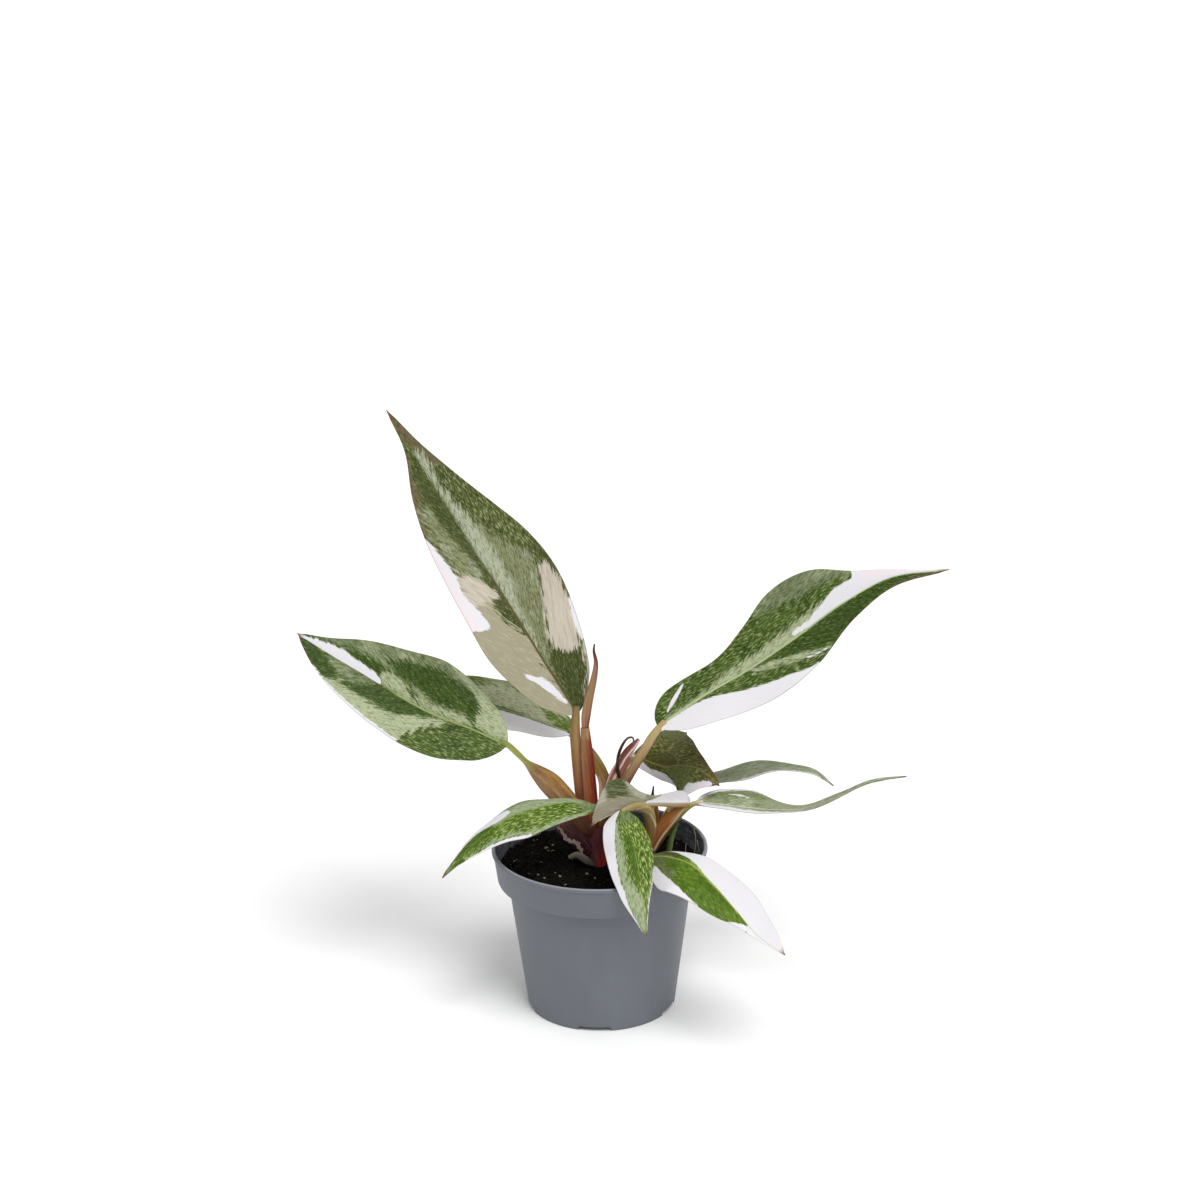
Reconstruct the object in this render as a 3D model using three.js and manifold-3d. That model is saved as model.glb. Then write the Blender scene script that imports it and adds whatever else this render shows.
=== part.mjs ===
// Potted red Anderson philodendron: a small aroid with eleven leaves on two shoots, standing in
// potting soil in a round 12 cm nursery pot. Millimetres, +Z up, the pot's foot on z = 0, the plant's
// broad side along X.
import * as THREE from 'three';
import Module from 'manifold-3d';

const wasm = await Module();
wasm.setup();

// driving dimensions
const GAP = 0.35;
const POT = {
  rim: 60, height: 93.7, foot: 41.5, wall: 1.4,
  bandLow: 57, stepHeight: 75, stepRadius: 51.3, lip: 2.4,
  footRing: 3, floor: 1.6, centreDisc: 10,
  holes: 5, holeRadius: 4, holeCircle: 24,
  notches: 5, notchWidth: 18, notchHeight: 2.5, notchTurn: -0.1,
};
const SOIL_TOP = 82;
const BLADE = 0.75;
const KEEL = 1.5;
const BASE_ROUND = 0.1;
const RING = 60;

// spines, faces and half-widths of the blades run from the petiole to the tip, at even steps
const LEAVES = {
  leaf_tall: {
    spine: [[-11, 2, 171], [-28, 8, 198], [-45, 16, 225], [-62, 26, 251], [-79, 34, 277], [-96, 40, 305],
      [-112, 42, 333]],
    face: [[0.1, -0.95, 0.3], [0.1, -0.95, 0.3], [0.2, -0.9, 0.35]],
    left: [10, 19.5, 25.5, 25, 23.5, 20.5, 14, 3.5, 0.5],
    right: [10, 22, 29.5, 33, 30.5, 23, 14, 6, 0.5],
    fold: [10, 10], wave: 1.5, waves: 3, rows: 18,
    petiole: [[-11.5, 2, 175], [-12.5, 2, 161.5], [-12, 2, 150], [-11, 3, 135], [-9.5, 3.5, 120],
      [-6, 2.5, 108], [-2, 0, 101]],
    thick: [1.8, 2.8, 3, 3.1, 3.2, 3.2, 3.2],
    look: [0x5f6b4d, 0.5],
  },
  leaf_left: {
    spine: [[-50, 0, 154], [-70, 5, 162], [-91, 10, 169], [-110, 16, 178], [-129, 23, 188], [-148, 29, 198],
      [-166, 36, 208]],
    face: [[-0.1, -0.75, 0.65], [-0.1, -0.75, 0.65]],
    left: [11, 18.5, 24, 24.5, 23, 21, 17, 10, 0.5],
    right: [10, 17.5, 26.5, 29, 26.5, 22, 15.5, 7.5, 0.5],
    fold: [10, 10], wave: 1.5, waves: 3, rows: 18,
    petiole: [[-54, 1.5, 155], [-49.5, 0, 154], [-44.5, -1, 149.5], [-39.5, -1, 144], [-34, -1, 138.5],
      [-28.5, -1, 133], [-23.5, -1.5, 127.5], [-16.5, -3, 119.5], [-8, -4.5, 107], [-3, -2, 101]],
    thick: [1.4, 1.6, 1.6, 1.7, 4, 5.8, 6.2, 5.6, 4, 3], flat: 0.5,
    look: [0x6d7a57, 0.5],
  },
  leaf_right: {
    spine: [[33, 6, 161], [58, 10, 177], [85, 14, 192], [110, 16, 209], [135, 16, 228], [161, 14, 243],
      [191, 10, 248]],
    face: [[0.1, -0.8, 0.6], [0.1, -0.8, 0.6]],
    left: [13.5, 14, 14, 21, 29, 26, 11, 2.5, 0.5],
    right: [7, 14.5, 20, 22.5, 20, 13, 8, 4.5, 0.5],
    fold: [8, 8], wave: 1.5, waves: 3, rows: 18,
    petiole: [[37, 7, 164], [28.5, 6, 159], [23, 5.5, 150.5], [17, 4.5, 141], [11.5, 3.5, 130], [6, 1.5, 116],
      [1, 0, 104]],
    thick: [1.7, 2.3, 2.5, 2.6, 2.8, 2.9, 3],
    look: [0x5c684c, 0.5],
  },
  leaf_back_left: {
    spine: [[-14, 24, 151], [-29, 29, 155], [-44, 34, 159], [-59, 39, 162], [-74, 44, 164], [-90, 47, 166],
      [-106, 50, 167]],
    face: [[-0.05, -0.45, 0.9], [-0.1, -0.5, 0.85]],
    left: [5, 9, 12, 15.5, 16, 15, 13, 7.5, 0.5],
    right: [9, 11, 13.5, 16.5, 18.5, 18, 14, 8, 0.5],
    fold: [6, 6], wave: 1.2, waves: 3, rows: 14,
    petiole: [[-17, 25, 151], [-7, 18, 146], [-1, 12, 138], [3, 8, 129], [3, 4, 119], [1, 2, 110],
      [0, 0, 104]],
    thick: [1.3, 1.8, 3, 3.2, 3, 2.6, 2.4], flat: 0.5,
    look: [0x8f957b, 0.5],
  },
  leaf_back_centre: {
    spine: [[20, 60, 124], [29, 52, 122], [38, 44, 122], [46, 36, 126], [54, 28, 128], [61, 19, 127],
      [67, 9, 124.5]],
    face: [[0, -0.5, 0.85], [0.1, -0.6, 0.8], [0.4, -0.6, 0.7]],
    left: [22, 26, 27, 24.5, 17.5, 10, 5.5, 3, 0.5],
    right: [5, 6, 7, 9, 14, 19, 18, 9, 0.5],
    fold: [6, -34], wave: 1, waves: 2, rows: 14,
    petiole: [[23.5, 57, 123.3], [17, 44, 125], [11, 25, 121], [5, 11, 113], [1, 3, 105], [0, 0, 101]],
    thick: [1.4, 1.6, 1.8, 2, 2.2, 2.4],
    look: [0x66703a, 0.5],
  },
  leaf_back_right: {
    spine: [[52, 48, 108], [66, 51, 111], [80, 53, 114], [94, 53, 117], [109, 51, 118], [123, 47, 117],
      [134, 44, 109]],
    face: [[0, 0.05, 1], [0, 0.08, 1], [0.3, 0, 0.9]],
    left: [5, 11, 11, 12, 10, 7, 4, 2, 0.5],
    right: [5, 9, 13.5, 16, 16.5, 13, 10, 5.5, 0.5],
    fold: [4, 4], wave: 1, waves: 2, rows: 14,
    petiole: [[55, 49, 108.5], [46, 38, 108], [38, 24, 102], [31, 11, 94], [26, 3, 85], [24, 0, 79]],
    thick: [1.3, 1.5, 1.6, 1.8, 2, 2],
    look: [0x8d9678, 0.5],
  },
  leaf_far_right: {
    spine: [[54, 14, 113], [73, 8, 113], [93, 4, 112], [113, 2, 113], [132, 0, 121], [149, -2, 130],
      [169, -4, 134]],
    face: [[0, -0.3, 0.95], [0, 0.1, 1], [0, 0.15, 1]],
    left: [8, 15, 18, 11, 6, 5, 4.5, 3, 0.5],
    right: [4, 5, 6.5, 7, 6.5, 9, 9, 3.5, 0.5],
    fold: [4, 4], wave: 0.8, waves: 3, rows: 15,
    petiole: [[58, 13, 113], [52, 12, 112], [46, 9.5, 108], [38.5, 7, 99.5], [31, 4.5, 90], [25.5, 1.5, 82],
      [24, 0, 77]],
    thick: [1.3, 1.5, 1.7, 1.8, 2, 2.2, 2.2],
    look: [0x8b9470, 0.5],
  },
  leaf_front_right: {
    spine: [[25, -26, 98], [37, -38, 103], [50, -50, 103], [61, -61, 96], [72, -71, 86], [83, -79, 75],
      [97, -86, 67]],
    face: [[0.2, -0.45, 0.85], [0.3, -0.65, 0.65], [0.4, -0.7, 0.5]],
    left: [3.5, 7.5, 9, 13, 16, 17, 16, 11.5, 0.5],
    right: [4.5, 13.5, 22, 23, 17, 12, 5, 1.5, 0.5],
    fold: [-14, -4], wave: 0.8, waves: 3, rows: 15,
    petiole: [[28, -28.5, 99], [23.5, -19, 96.5], [23, -10, 91], [23, -4, 84], [23, 0, 79]],
    thick: [1.2, 1.5, 1.6, 1.8, 1.8],
    look: [0xa9ab93, 0.5],
  },
  leaf_front: {
    spine: [[12, -18, 122], [15, -31, 118], [18, -43, 113], [20, -55, 107], [22, -66, 99], [23, -74, 88],
      [24, -80, 76]],
    face: [[0, -0.6, 0.8], [0, -0.85, 0.5], [0, -1, 0.1]],
    left: [5, 8.5, 9.5, 10, 9, 7, 4, 2, 0.5],
    right: [8.5, 13, 15.5, 16, 15.5, 14, 11.5, 6, 0.5],
    fold: [-12, -12], wave: 0.8, waves: 3, rows: 15,
    petiole: [[12, -19.5, 121.7], [20, -12.5, 121.5], [26.5, -7, 116.5], [28.5, -3, 103], [25.5, -1, 89],
      [23, 0, 80]],
    thick: [1.1, 2.6, 3.2, 2.8, 2.2, 1.8], flat: 0.5,
    look: [0x7f9168, 0.5],
  },
  leaf_front_left: {
    spine: [[1, -13, 122], [-15, -18, 127], [-31, -23, 127], [-47, -28, 124], [-61, -33, 116],
      [-74, -39, 106], [-85, -44, 95]],
    face: [[-0.1, -0.3, 0.95], [-0.1, -0.35, 0.93], [-0.3, -0.35, 0.88]],
    left: [4, 8.5, 12.5, 15, 15, 11.5, 7, 3, 0.5],
    right: [4, 6.5, 9.5, 12, 11, 9.5, 7.5, 4.5, 0.5],
    fold: [-20, -20], wave: 0.8, waves: 3, rows: 15,
    petiole: [[-2, -14, 122.7], [2.5, -10.5, 118], [1.5, -5, 110], [-1, 0, 103]],
    thick: [1.2, 1.5, 1.7, 1.8],
    look: [0x7f9166, 0.5],
  },
  leaf_small: {
    spine: [[50, 3, 117], [41, -2, 119], [32, -6, 121], [22, -10, 122], [13, -15, 121], [3, -19, 119],
      [-5, -23, 115]],
    face: [[0, 0.3, 0.95], [0, 0.3, 0.95]],
    left: [6, 7.5, 6, 4.5, 8, 17.5, 19, 8, 0.5],
    right: [3, 4, 4, 3.5, 5, 8, 8, 4, 0.5],
    fold: [70, 45], wave: 0, waves: 1, rows: 14, crease: 0.2,
    petiole: [[49, 2.5, 116.5], [45.5, 2.5, 114.5], [41.5, 2, 111.5], [36.5, 1, 105.5], [31, -0.5, 97.5],
      [25, -1, 84]],
    thick: [1.3, 2.4, 3.6, 4, 3.6, 2.6], flat: 0.55,
    look: [0x9d8a66, 0.5],
  },
};

// stems, sheaths, shoots and scales: paths with half-width across the view and half-depth along it
const SHOOTS = {
  main_stem: {
    path: [[-1, 0, 64], [-1, 0, 80], [-2, 0, 92], [-2, 0, 103], [-3, 0, 111]],
    wide: [3.4, 4.6, 4.4, 4.6, 3.2], deep: [3.4, 4.2, 4, 4, 2.8], look: [0x5a2a26, 0.45], sides: 16,
  },
  second_shoot: {
    path: [[22, 0, 66], [23, 0, 80], [24, 0, 88], [25, 1, 92]],
    wide: [2.6, 3.6, 3.4, 2.4], deep: [2.6, 3.2, 3, 2.2], look: [0x7a4326, 0.5], sides: 16,
  },
  new_leaf_sheath: {
    path: [[-7, -1.5, 164], [-6, -2, 148], [-5, -2, 132], [-4, -2.5, 118], [-2.5, -2, 108], [-2, 0, 103]],
    wide: [2.4, 3.4, 3.7, 3.8, 3.8, 3], deep: [1.8, 2.3, 2.6, 2.8, 2.8, 2.4], look: [0x9a4a2c, 0.4],
    sides: 12,
  },
  new_leaf_spear: {
    path: [[-1.1, -1, 212], [-1.5, -1, 208], [-0.5, -1, 201], [-1.8, -1, 192], [-4.5, -1, 181],
      [-6.3, -1, 171], [-6.9, -1.5, 164.4]],
    wide: [0.4, 0.7, 1.2, 1.8, 2.4, 2.5, 2], deep: [0.4, 0.7, 1.1, 1.6, 1.9, 1.9, 1.5], look: [0x5a2420, 0.4],
    sides: 12,
  },
  right_sheath: {
    path: [[22.5, 3, 155], [17, 2, 148.5], [12.5, 1.5, 140], [8, 0.5, 131], [3.5, -0.5, 116], [0, 0, 106]],
    wide: [1, 2.7, 3.5, 3.7, 3.2, 2.4], deep: [0.7, 1.2, 1.6, 2, 2, 2], look: [0x8f4a33, 0.45], sides: 12,
  },
  dry_tendril: {
    path: [[11.5, -0.6, 134], [10.6, -1.8, 140], [11, -2, 147], [13, -2, 153], [16, -1, 157], [19, -1, 157.5],
      [19.5, -1, 154]],
    wide: [1, 1, 0.9, 0.8, 0.8, 0.7, 0.5], deep: [0.7, 0.7, 0.6, 0.6, 0.6, 0.5, 0.4], look: [0x5b3a2a, 0.8],
    sides: 10,
  },
  old_sheath: {
    path: [[-22, -1, 106.5], [-16, -1.5, 103.5], [-10, -1.5, 98], [-4, -1, 90]],
    wide: [4, 6.5, 6.5, 4.5], deep: [1, 2, 2.6, 2.4], look: [0x6d3a2c, 0.55], sides: 12,
  },
  dry_scale: {
    path: [[-17, -5, 88.5], [-12, -6.5, 90.5], [-7, -7, 87], [-3, -6, 84.2]],
    wide: [1.2, 2, 2, 1.2], deep: [0.6, 0.8, 0.8, 0.6], look: [0x9b8d7c, 0.85], sides: 10,
  },
  pointed_sheath: {
    path: [[23.5, 1, 81], [26.5, 3, 91], [28.7, 4, 102], [29.7, 4, 111], [29.5, 4, 118], [29.8, 3.5, 122],
      [30.3, 3, 127]],
    wide: [2.6, 3.4, 3.8, 3.6, 2.2, 0.9, 0.4], deep: [1.6, 1.9, 2, 1.8, 1.3, 0.8, 0.4], look: [0x9c5a2c, 0.5],
    sides: 12,
  },
  green_sprout: {
    path: [[38, 8, 72], [38, 8, 82], [39, 7, 88], [40, 6, 94], [42, 6, 100], [44, 6, 103]],
    wide: [1.2, 1.6, 1.8, 1.6, 1.2, 0.6], deep: [1.2, 1.5, 1.6, 1.4, 1.1, 0.6], look: [0x7c8a4d, 0.5],
    sides: 10,
  },
};

const radians = THREE.MathUtils.degToRad;

function smooth(a, b, c, d, f) {
  const square = (2 * a - 5 * b + 4 * c - d) * f * f;
  const cube = (3 * b - a - 3 * c + d) * f * f * f;
  return 0.5 * (2 * b + (c - a) * f + square + cube);
}

// value of a smooth curve through evenly spaced numbers
function through(values, t) {
  const last = values.length - 1;
  const x = Math.min(Math.max(t, 0), 1) * last;
  const i = Math.min(Math.floor(x), last - 1);
  const before = i > 0 ? values[i - 1] : 2 * values[i] - values[i + 1];
  const after = i + 2 <= last ? values[i + 2] : 2 * values[i + 1] - values[i];
  return smooth(before, values[i], values[i + 1], after, x - i);
}

function along(points, t) {
  return new THREE.Vector3(...[0, 1, 2].map((k) => through(points.map((p) => p[k]), t)));
}

function direction(points, t) {
  const step = 0.01;
  const ahead = along(points, Math.min(t + step, 1));
  return ahead.sub(along(points, Math.max(t - step, 0))).normalize();
}

// point of a leaf's middle surface: t runs base to tip, u from the left margin (-1) to the right (1)
function bladePoint(leaf, t, u) {
  const tangent = direction(leaf.spine, t);
  const up = along(leaf.face, t);
  up.addScaledVector(tangent, -up.dot(tangent)).normalize();
  const right = tangent.clone().cross(up);
  const rounding = Math.sqrt(1 - (1 - Math.min(t / BASE_ROUND, 1)) ** 2);
  const half = Math.max(through(u > 0 ? leaf.right : leaf.left, t) * rounding, 0.5);
  const fold = radians(leaf.fold[u > 0 ? 1 : 0]) * Math.min(half / 4, 1);
  const broad = Math.max(...leaf.left, ...leaf.right);
  const phase = u > 0 ? 0 : 1.9;
  const ripple = leaf.wave * Math.sin(2 * Math.PI * leaf.waves * t + phase) * u * u * half / broad;
  const out = Math.abs(u) * half;
  return along(leaf.spine, t)
    .addScaledVector(right, Math.sign(u) * out * Math.cos(fold))
    .addScaledVector(up, out * Math.sin(fold) + ripple);
}

function bladeNormal(leaf, t, u) {
  const h = 0.01;
  const lengthwise = bladePoint(leaf, Math.min(t + h, 1), u).sub(bladePoint(leaf, Math.max(t - h, 0), u));
  const across = bladePoint(leaf, t, Math.min(u + 0.05, 1)).sub(bladePoint(leaf, t, Math.max(u - 0.05, -1)));
  return across.cross(lengthwise).normalize();
}

function solid(points, triangles) {
  const mesh = new wasm.Mesh({
    numProp: 3,
    vertProperties: new Float32Array(points.flatMap((p) => [p.x, p.y, p.z])),
    triVerts: new Uint32Array(triangles.flat()),
  });
  return new wasm.Manifold(mesh);
}

// a closed sheet with both faces split alike and a keel under the midrib
function blade(leaf, extra) {
  const crease = leaf.crease ?? 0.1;
  const stations = [-1, -0.72, -0.38, -crease, 0, crease, 0.38, 0.72, 1];
  const columns = stations.length;
  const rows = leaf.rows;
  const points = [];
  for (const side of [1, -1]) {
    for (let i = 0; i <= rows; i += 1) {
      const t = (i / rows) ** 1.3;
      for (const u of stations) {
        const keel = side < 0 && u === 0 ? KEEL * (1 - t) * (1 - t * 0.3) : 0;
        const offset = side * (BLADE / 2 + extra + keel);
        points.push(bladePoint(leaf, t, u).addScaledVector(bladeNormal(leaf, t, u), offset));
      }
    }
  }
  const under = (rows + 1) * columns;
  const at = (i, j) => i * columns + j;
  const triangles = [];
  for (let i = 0; i < rows; i += 1) {
    for (let j = 0; j < columns - 1; j += 1) {
      const [a, b, c, d] = [at(i, j), at(i, j + 1), at(i + 1, j + 1), at(i + 1, j)];
      triangles.push([a, b, c], [a, c, d]);
      triangles.push([under + a, under + c, under + b], [under + a, under + d, under + c]);
    }
  }
  const rim = [];
  for (let j = 0; j < columns; j += 1) rim.push(at(0, j));
  for (let i = 1; i <= rows; i += 1) rim.push(at(i, columns - 1));
  for (let j = columns - 2; j >= 0; j -= 1) rim.push(at(rows, j));
  for (let i = rows - 1; i > 0; i -= 1) rim.push(at(i, 0));
  rim.forEach((a, k) => {
    const b = rim[(k + 1) % rim.length];
    triangles.push([a, under + a, under + b], [a, under + b, b]);
  });
  return solid(points, triangles);
}

// an oval tube along a path, its ends closed
function tube(path, wide, deep, sides, extra) {
  const rings = (path.length - 1) * 2;
  const points = [];
  const triangles = [];
  for (let i = 0; i <= rings; i += 1) {
    const t = i / rings;
    const ahead = direction(path, t);
    const depth = new THREE.Vector3(0, 1, 0);
    depth.addScaledVector(ahead, -depth.dot(ahead));
    if (depth.length() < 0.3) depth.set(0, 0, 1).addScaledVector(ahead, -ahead.z);
    depth.normalize();
    const across = depth.clone().cross(ahead);
    for (let k = 0; k < sides; k += 1) {
      const a = 2 * Math.PI * k / sides;
      points.push(along(path, t)
        .addScaledVector(across, Math.cos(a) * (Math.max(through(wide, t), 0.4) + extra))
        .addScaledVector(depth, Math.sin(a) * (Math.max(through(deep, t), 0.35) + extra)));
    }
  }
  for (let i = 0; i < rings; i += 1) {
    for (let k = 0; k < sides; k += 1) {
      const [a, b] = [i * sides + k, i * sides + (k + 1) % sides];
      triangles.push([a, b, b + sides], [a, b + sides, a + sides]);
    }
  }
  const ends = [points.length, points.length + 1];
  points.push(along(path, 0).addScaledVector(direction(path, 0), -extra));
  points.push(along(path, 1).addScaledVector(direction(path, 1), extra));
  for (let k = 0; k < sides; k += 1) {
    const next = (k + 1) % sides;
    triangles.push([ends[0], next, k], [ends[1], rings * sides + k, rings * sides + next]);
  }
  return solid(points, triangles);
}

// a solid of revolution; the profile starts and ends on the axis, heights may vary round it
function revolve(profile, count, height = (r, z) => z) {
  const points = [];
  const triangles = [];
  const ring = profile.map(([r, z]) => {
    const first = points.length;
    const steps = r === 0 ? 1 : count;
    for (let k = 0; k < steps; k += 1) {
      const a = 2 * Math.PI * k / count;
      points.push(new THREE.Vector3(r * Math.cos(a), r * Math.sin(a), height(r, z, a)));
    }
    return { first, steps };
  });
  for (let i = 0; i < ring.length - 1; i += 1) {
    const on = (row, k) => ring[row].first + (ring[row].steps > 1 ? k : 0);
    for (let k = 0; k < count; k += 1) {
      const next = (k + 1) % count;
      const [a, b, c, d] = [on(i, k), on(i, next), on(i + 1, k), on(i + 1, next)];
      if (a !== b) triangles.push([a, b, d]);
      if (c !== d) triangles.push([a, d, c]);
    }
  }
  return solid(points, triangles);
}

function potSolid() {
  const { rim, height, foot, wall, bandLow, stepHeight, stepRadius, lip, footRing, floor, centreDisc } = POT;
  const body = revolve([
    [0, 0], [centreDisc, 0], [centreDisc + 1, footRing], [foot - 4, footRing], [foot - 3, 0], [foot - 0.5, 0],
    [foot, 0.6], [stepRadius, stepHeight - 0.8], [bandLow - 0.6, stepHeight], [bandLow, stepHeight + 0.8],
    [rim - 1, height - 3], [rim - 0.2, height - 2], [rim, height - 1], [rim - 0.5, height - 0.2],
    [rim - 1.2, height], [rim - lip + 0.4, height - 0.3], [rim - lip, height - 1.2],
    [bandLow - wall, stepHeight + wall], [stepRadius - wall, stepHeight - 0.8],
    [foot - wall, footRing + floor], [0, footRing + floor],
  ], RING);
  let cut = body;
  const turn = 2 * Math.PI;
  for (let k = 0; k < POT.holes; k += 1) {
    const a = turn * (k + 0.5) / POT.holes;
    const hole = new THREE.CylinderGeometry(POT.holeRadius, POT.holeRadius, 12, 20);
    hole.rotateX(Math.PI / 2);
    hole.translate(POT.holeCircle * Math.cos(a), POT.holeCircle * Math.sin(a), 4);
    cut = cut.subtract(fromGeometry(hole));
  }
  for (let k = 0; k < POT.notches; k += 1) {
    const a = turn * k / POT.notches - Math.PI / 2;
    const notch = new THREE.BoxGeometry(10, POT.notchWidth, POT.notchHeight * 2);
    notch.translate(foot - 1, 0, 0);
    notch.rotateZ(a + POT.notchTurn);
    cut = cut.subtract(fromGeometry(notch));
  }
  return cut;
}

function soilSolid() {
  const { foot, wall, bandLow, stepHeight, stepRadius, rim, height, lip, footRing, floor } = POT;
  const low = footRing + floor + GAP;
  const slope = (rim - lip - (bandLow - wall)) / (height - 1.2 - (stepHeight + wall));
  const edge = bandLow - wall - GAP + slope * (SOIL_TOP - stepHeight - wall);
  const uneven = (r, z, a) => {
    if (z < SOIL_TOP - 0.5 || r > edge - 1) return z;
    return z + 0.9 * Math.sin(3 * a + r * 0.11) + 0.5 * Math.sin(7 * a - r * 0.3) + 0.4 * Math.cos(r * 0.35);
  };
  return revolve([
    [0, low], [foot - wall - GAP, low], [stepRadius - wall - GAP, stepHeight - 0.6],
    [bandLow - wall - GAP - 0.1, stepHeight + wall + GAP], [edge, SOIL_TOP - 1], [edge - 1.5, SOIL_TOP],
    [46, SOIL_TOP], [38, SOIL_TOP], [30, SOIL_TOP], [22, SOIL_TOP], [14, SOIL_TOP], [7, SOIL_TOP],
    [0, SOIL_TOP],
  ], RING / 2, uneven);
}

function fromGeometry(geometry) {
  const position = geometry.getAttribute('position');
  const points = [];
  const seen = new Map();
  const vertex = [];
  for (let i = 0; i < position.count; i += 1) {
    const p = new THREE.Vector3().fromBufferAttribute(position, i);
    const key = p.toArray().map((c) => c.toFixed(4)).join();
    if (!seen.has(key)) {
      seen.set(key, points.length);
      points.push(p);
    }
    vertex.push(seen.get(key));
  }
  const index = geometry.getIndex().array;
  const triangles = [];
  for (let i = 0; i < index.length; i += 3) {
    const t = [vertex[index[i]], vertex[index[i + 1]], vertex[index[i + 2]]];
    if (new Set(t).size === 3) triangles.push(t);
  }
  return solid(points, triangles);
}

function largest(shape) {
  return shape.decompose().reduce((best, piece) => (piece.volume() > best.volume() ? piece : best));
}

const plant = new THREE.Group();
plant.name = 'potted_philodendron';

function add(name, shape, [colour, roughness]) {
  const { vertProperties, triVerts, numProp } = shape.getMesh();
  const position = new Float32Array(vertProperties.length / numProp * 3);
  for (let i = 0; i < position.length / 3; i += 1) {
    for (let k = 0; k < 3; k += 1) position[3 * i + k] = vertProperties[numProp * i + k];
  }
  const geometry = new THREE.BufferGeometry();
  geometry.setAttribute('position', new THREE.BufferAttribute(position, 3));
  geometry.setIndex(new THREE.BufferAttribute(new Uint32Array(triVerts), 1));
  geometry.computeVertexNormals();
  const material = new THREE.MeshStandardMaterial({ color: colour, roughness, metalness: 0 });
  const mesh = new THREE.Mesh(geometry, material);
  mesh.name = name;
  plant.add(mesh);
}

// each piece is cut back where an earlier one passes, so that a thin gap stays between them
const placed = [];

function place(name, shape, grown, look) {
  let cut = shape;
  for (const other of placed) cut = cut.subtract(other);
  add(name, largest(cut), look);
  placed.push(grown);
}

function leafShape(leaf, extra) {
  const deep = leaf.thick.map((w) => Math.max(w * (leaf.flat ?? 0.85), 1.1));
  return blade(leaf, extra).add(tube(leaf.petiole, leaf.thick, deep, 8, extra));
}

function placeShoot(name) {
  const { path, wide, deep, sides, look } = SHOOTS[name];
  place(name, tube(path, wide, deep, sides, 0), tube(path, wide, deep, sides, GAP), look);
}

function placeLeaf(name) {
  const leaf = LEAVES[name];
  place(name, leafShape(leaf, 0), leafShape(leaf, GAP), leaf.look);
}

['main_stem', 'second_shoot', 'green_sprout'].forEach(placeShoot);
['new_leaf_sheath', 'new_leaf_spear', 'pointed_sheath'].forEach(placeShoot);
placeLeaf('leaf_small');
Object.keys(LEAVES).filter((name) => name !== 'leaf_small').forEach(placeLeaf);
['right_sheath', 'dry_tendril', 'old_sheath'].forEach(placeShoot);

const soil = placed.reduce((rest, stem) => rest.subtract(stem), soilSolid());
add('soil', largest(soil), [0x0b0704, 0.95]);
placed.push(soilSolid());
placeShoot('dry_scale');
add('pot', potSolid(), [0x6f737d, 0.55]);

export default plant;
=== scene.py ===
import math

import bpy
import numpy as np
from mathutils import Matrix, Vector


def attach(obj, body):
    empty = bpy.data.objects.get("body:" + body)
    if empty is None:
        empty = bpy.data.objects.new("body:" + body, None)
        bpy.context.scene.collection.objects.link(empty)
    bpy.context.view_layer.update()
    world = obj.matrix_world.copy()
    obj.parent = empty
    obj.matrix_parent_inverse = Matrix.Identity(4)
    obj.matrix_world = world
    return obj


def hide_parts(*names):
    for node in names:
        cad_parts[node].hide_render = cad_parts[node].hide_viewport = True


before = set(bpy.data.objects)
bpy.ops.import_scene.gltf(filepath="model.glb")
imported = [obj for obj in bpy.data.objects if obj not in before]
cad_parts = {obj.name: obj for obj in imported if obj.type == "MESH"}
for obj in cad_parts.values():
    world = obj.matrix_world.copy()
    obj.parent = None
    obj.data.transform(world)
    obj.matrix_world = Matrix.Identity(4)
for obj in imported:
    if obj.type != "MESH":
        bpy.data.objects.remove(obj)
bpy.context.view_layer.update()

bl_info = {
    "name": "Potted Red Anderson Philodendron",
    "version": (1, 0, 0),
    "blender": (4, 5, 0),
    "location": "3D View > Sidebar > Philodendron",
    "description": "Builds a small variegated philodendron in a nursery pot on a pale floor",
    "category": "Add Mesh",
}

MM = 0.001
FIELD = 24.0  # millimetres of distance that a zone's 0 to 1 value spans
VEIN_GAP = 7.0  # millimetres along the midrib from one side vein to the next
VEIN_SLANT, VEIN_BEND = 1.7, 0.015  # how far a side vein runs ahead for each mm from the midrib, and its square
WAVE_PERIOD = 0.31416  # distance after which the wave texture repeats at a scale of 1
LEAF_SHIFT = 300.0  # millimetres of pattern between one leaf and the next
DRIP_TIP = 0.97  # place along a blade from which it narrows to its point
BLADE_THICK = 0.7  # millimetres
THINNEST = 0.12  # least half-width of a tube in millimetres
SOIL_EDGE = 56.05  # radius of the soil's top in millimetres
OUTSIDE = 99  # millimetres from the midrib, wider than any blade


def rows(text):
    """Points from a text of numbers: spaces divide the numbers, and commas the points."""
    return [tuple(float(number) for number in point.split()) for point in text.split(",")]


def zoned(text):
    """Zones as (kind, points) from a text in which semicolons divide them."""
    return [(kind, rows(band)) for kind, band in (zone.split(None, 1) for zone in text.split(";"))]


def marked(text):
    """Marks as (colour, width, points) from a text in which semicolons divide them."""
    split = [mark.split(":") for mark in text.split(";")]
    return [(head.split()[0], float(head.split()[1]), rows(way)) for head, way in split]


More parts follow.
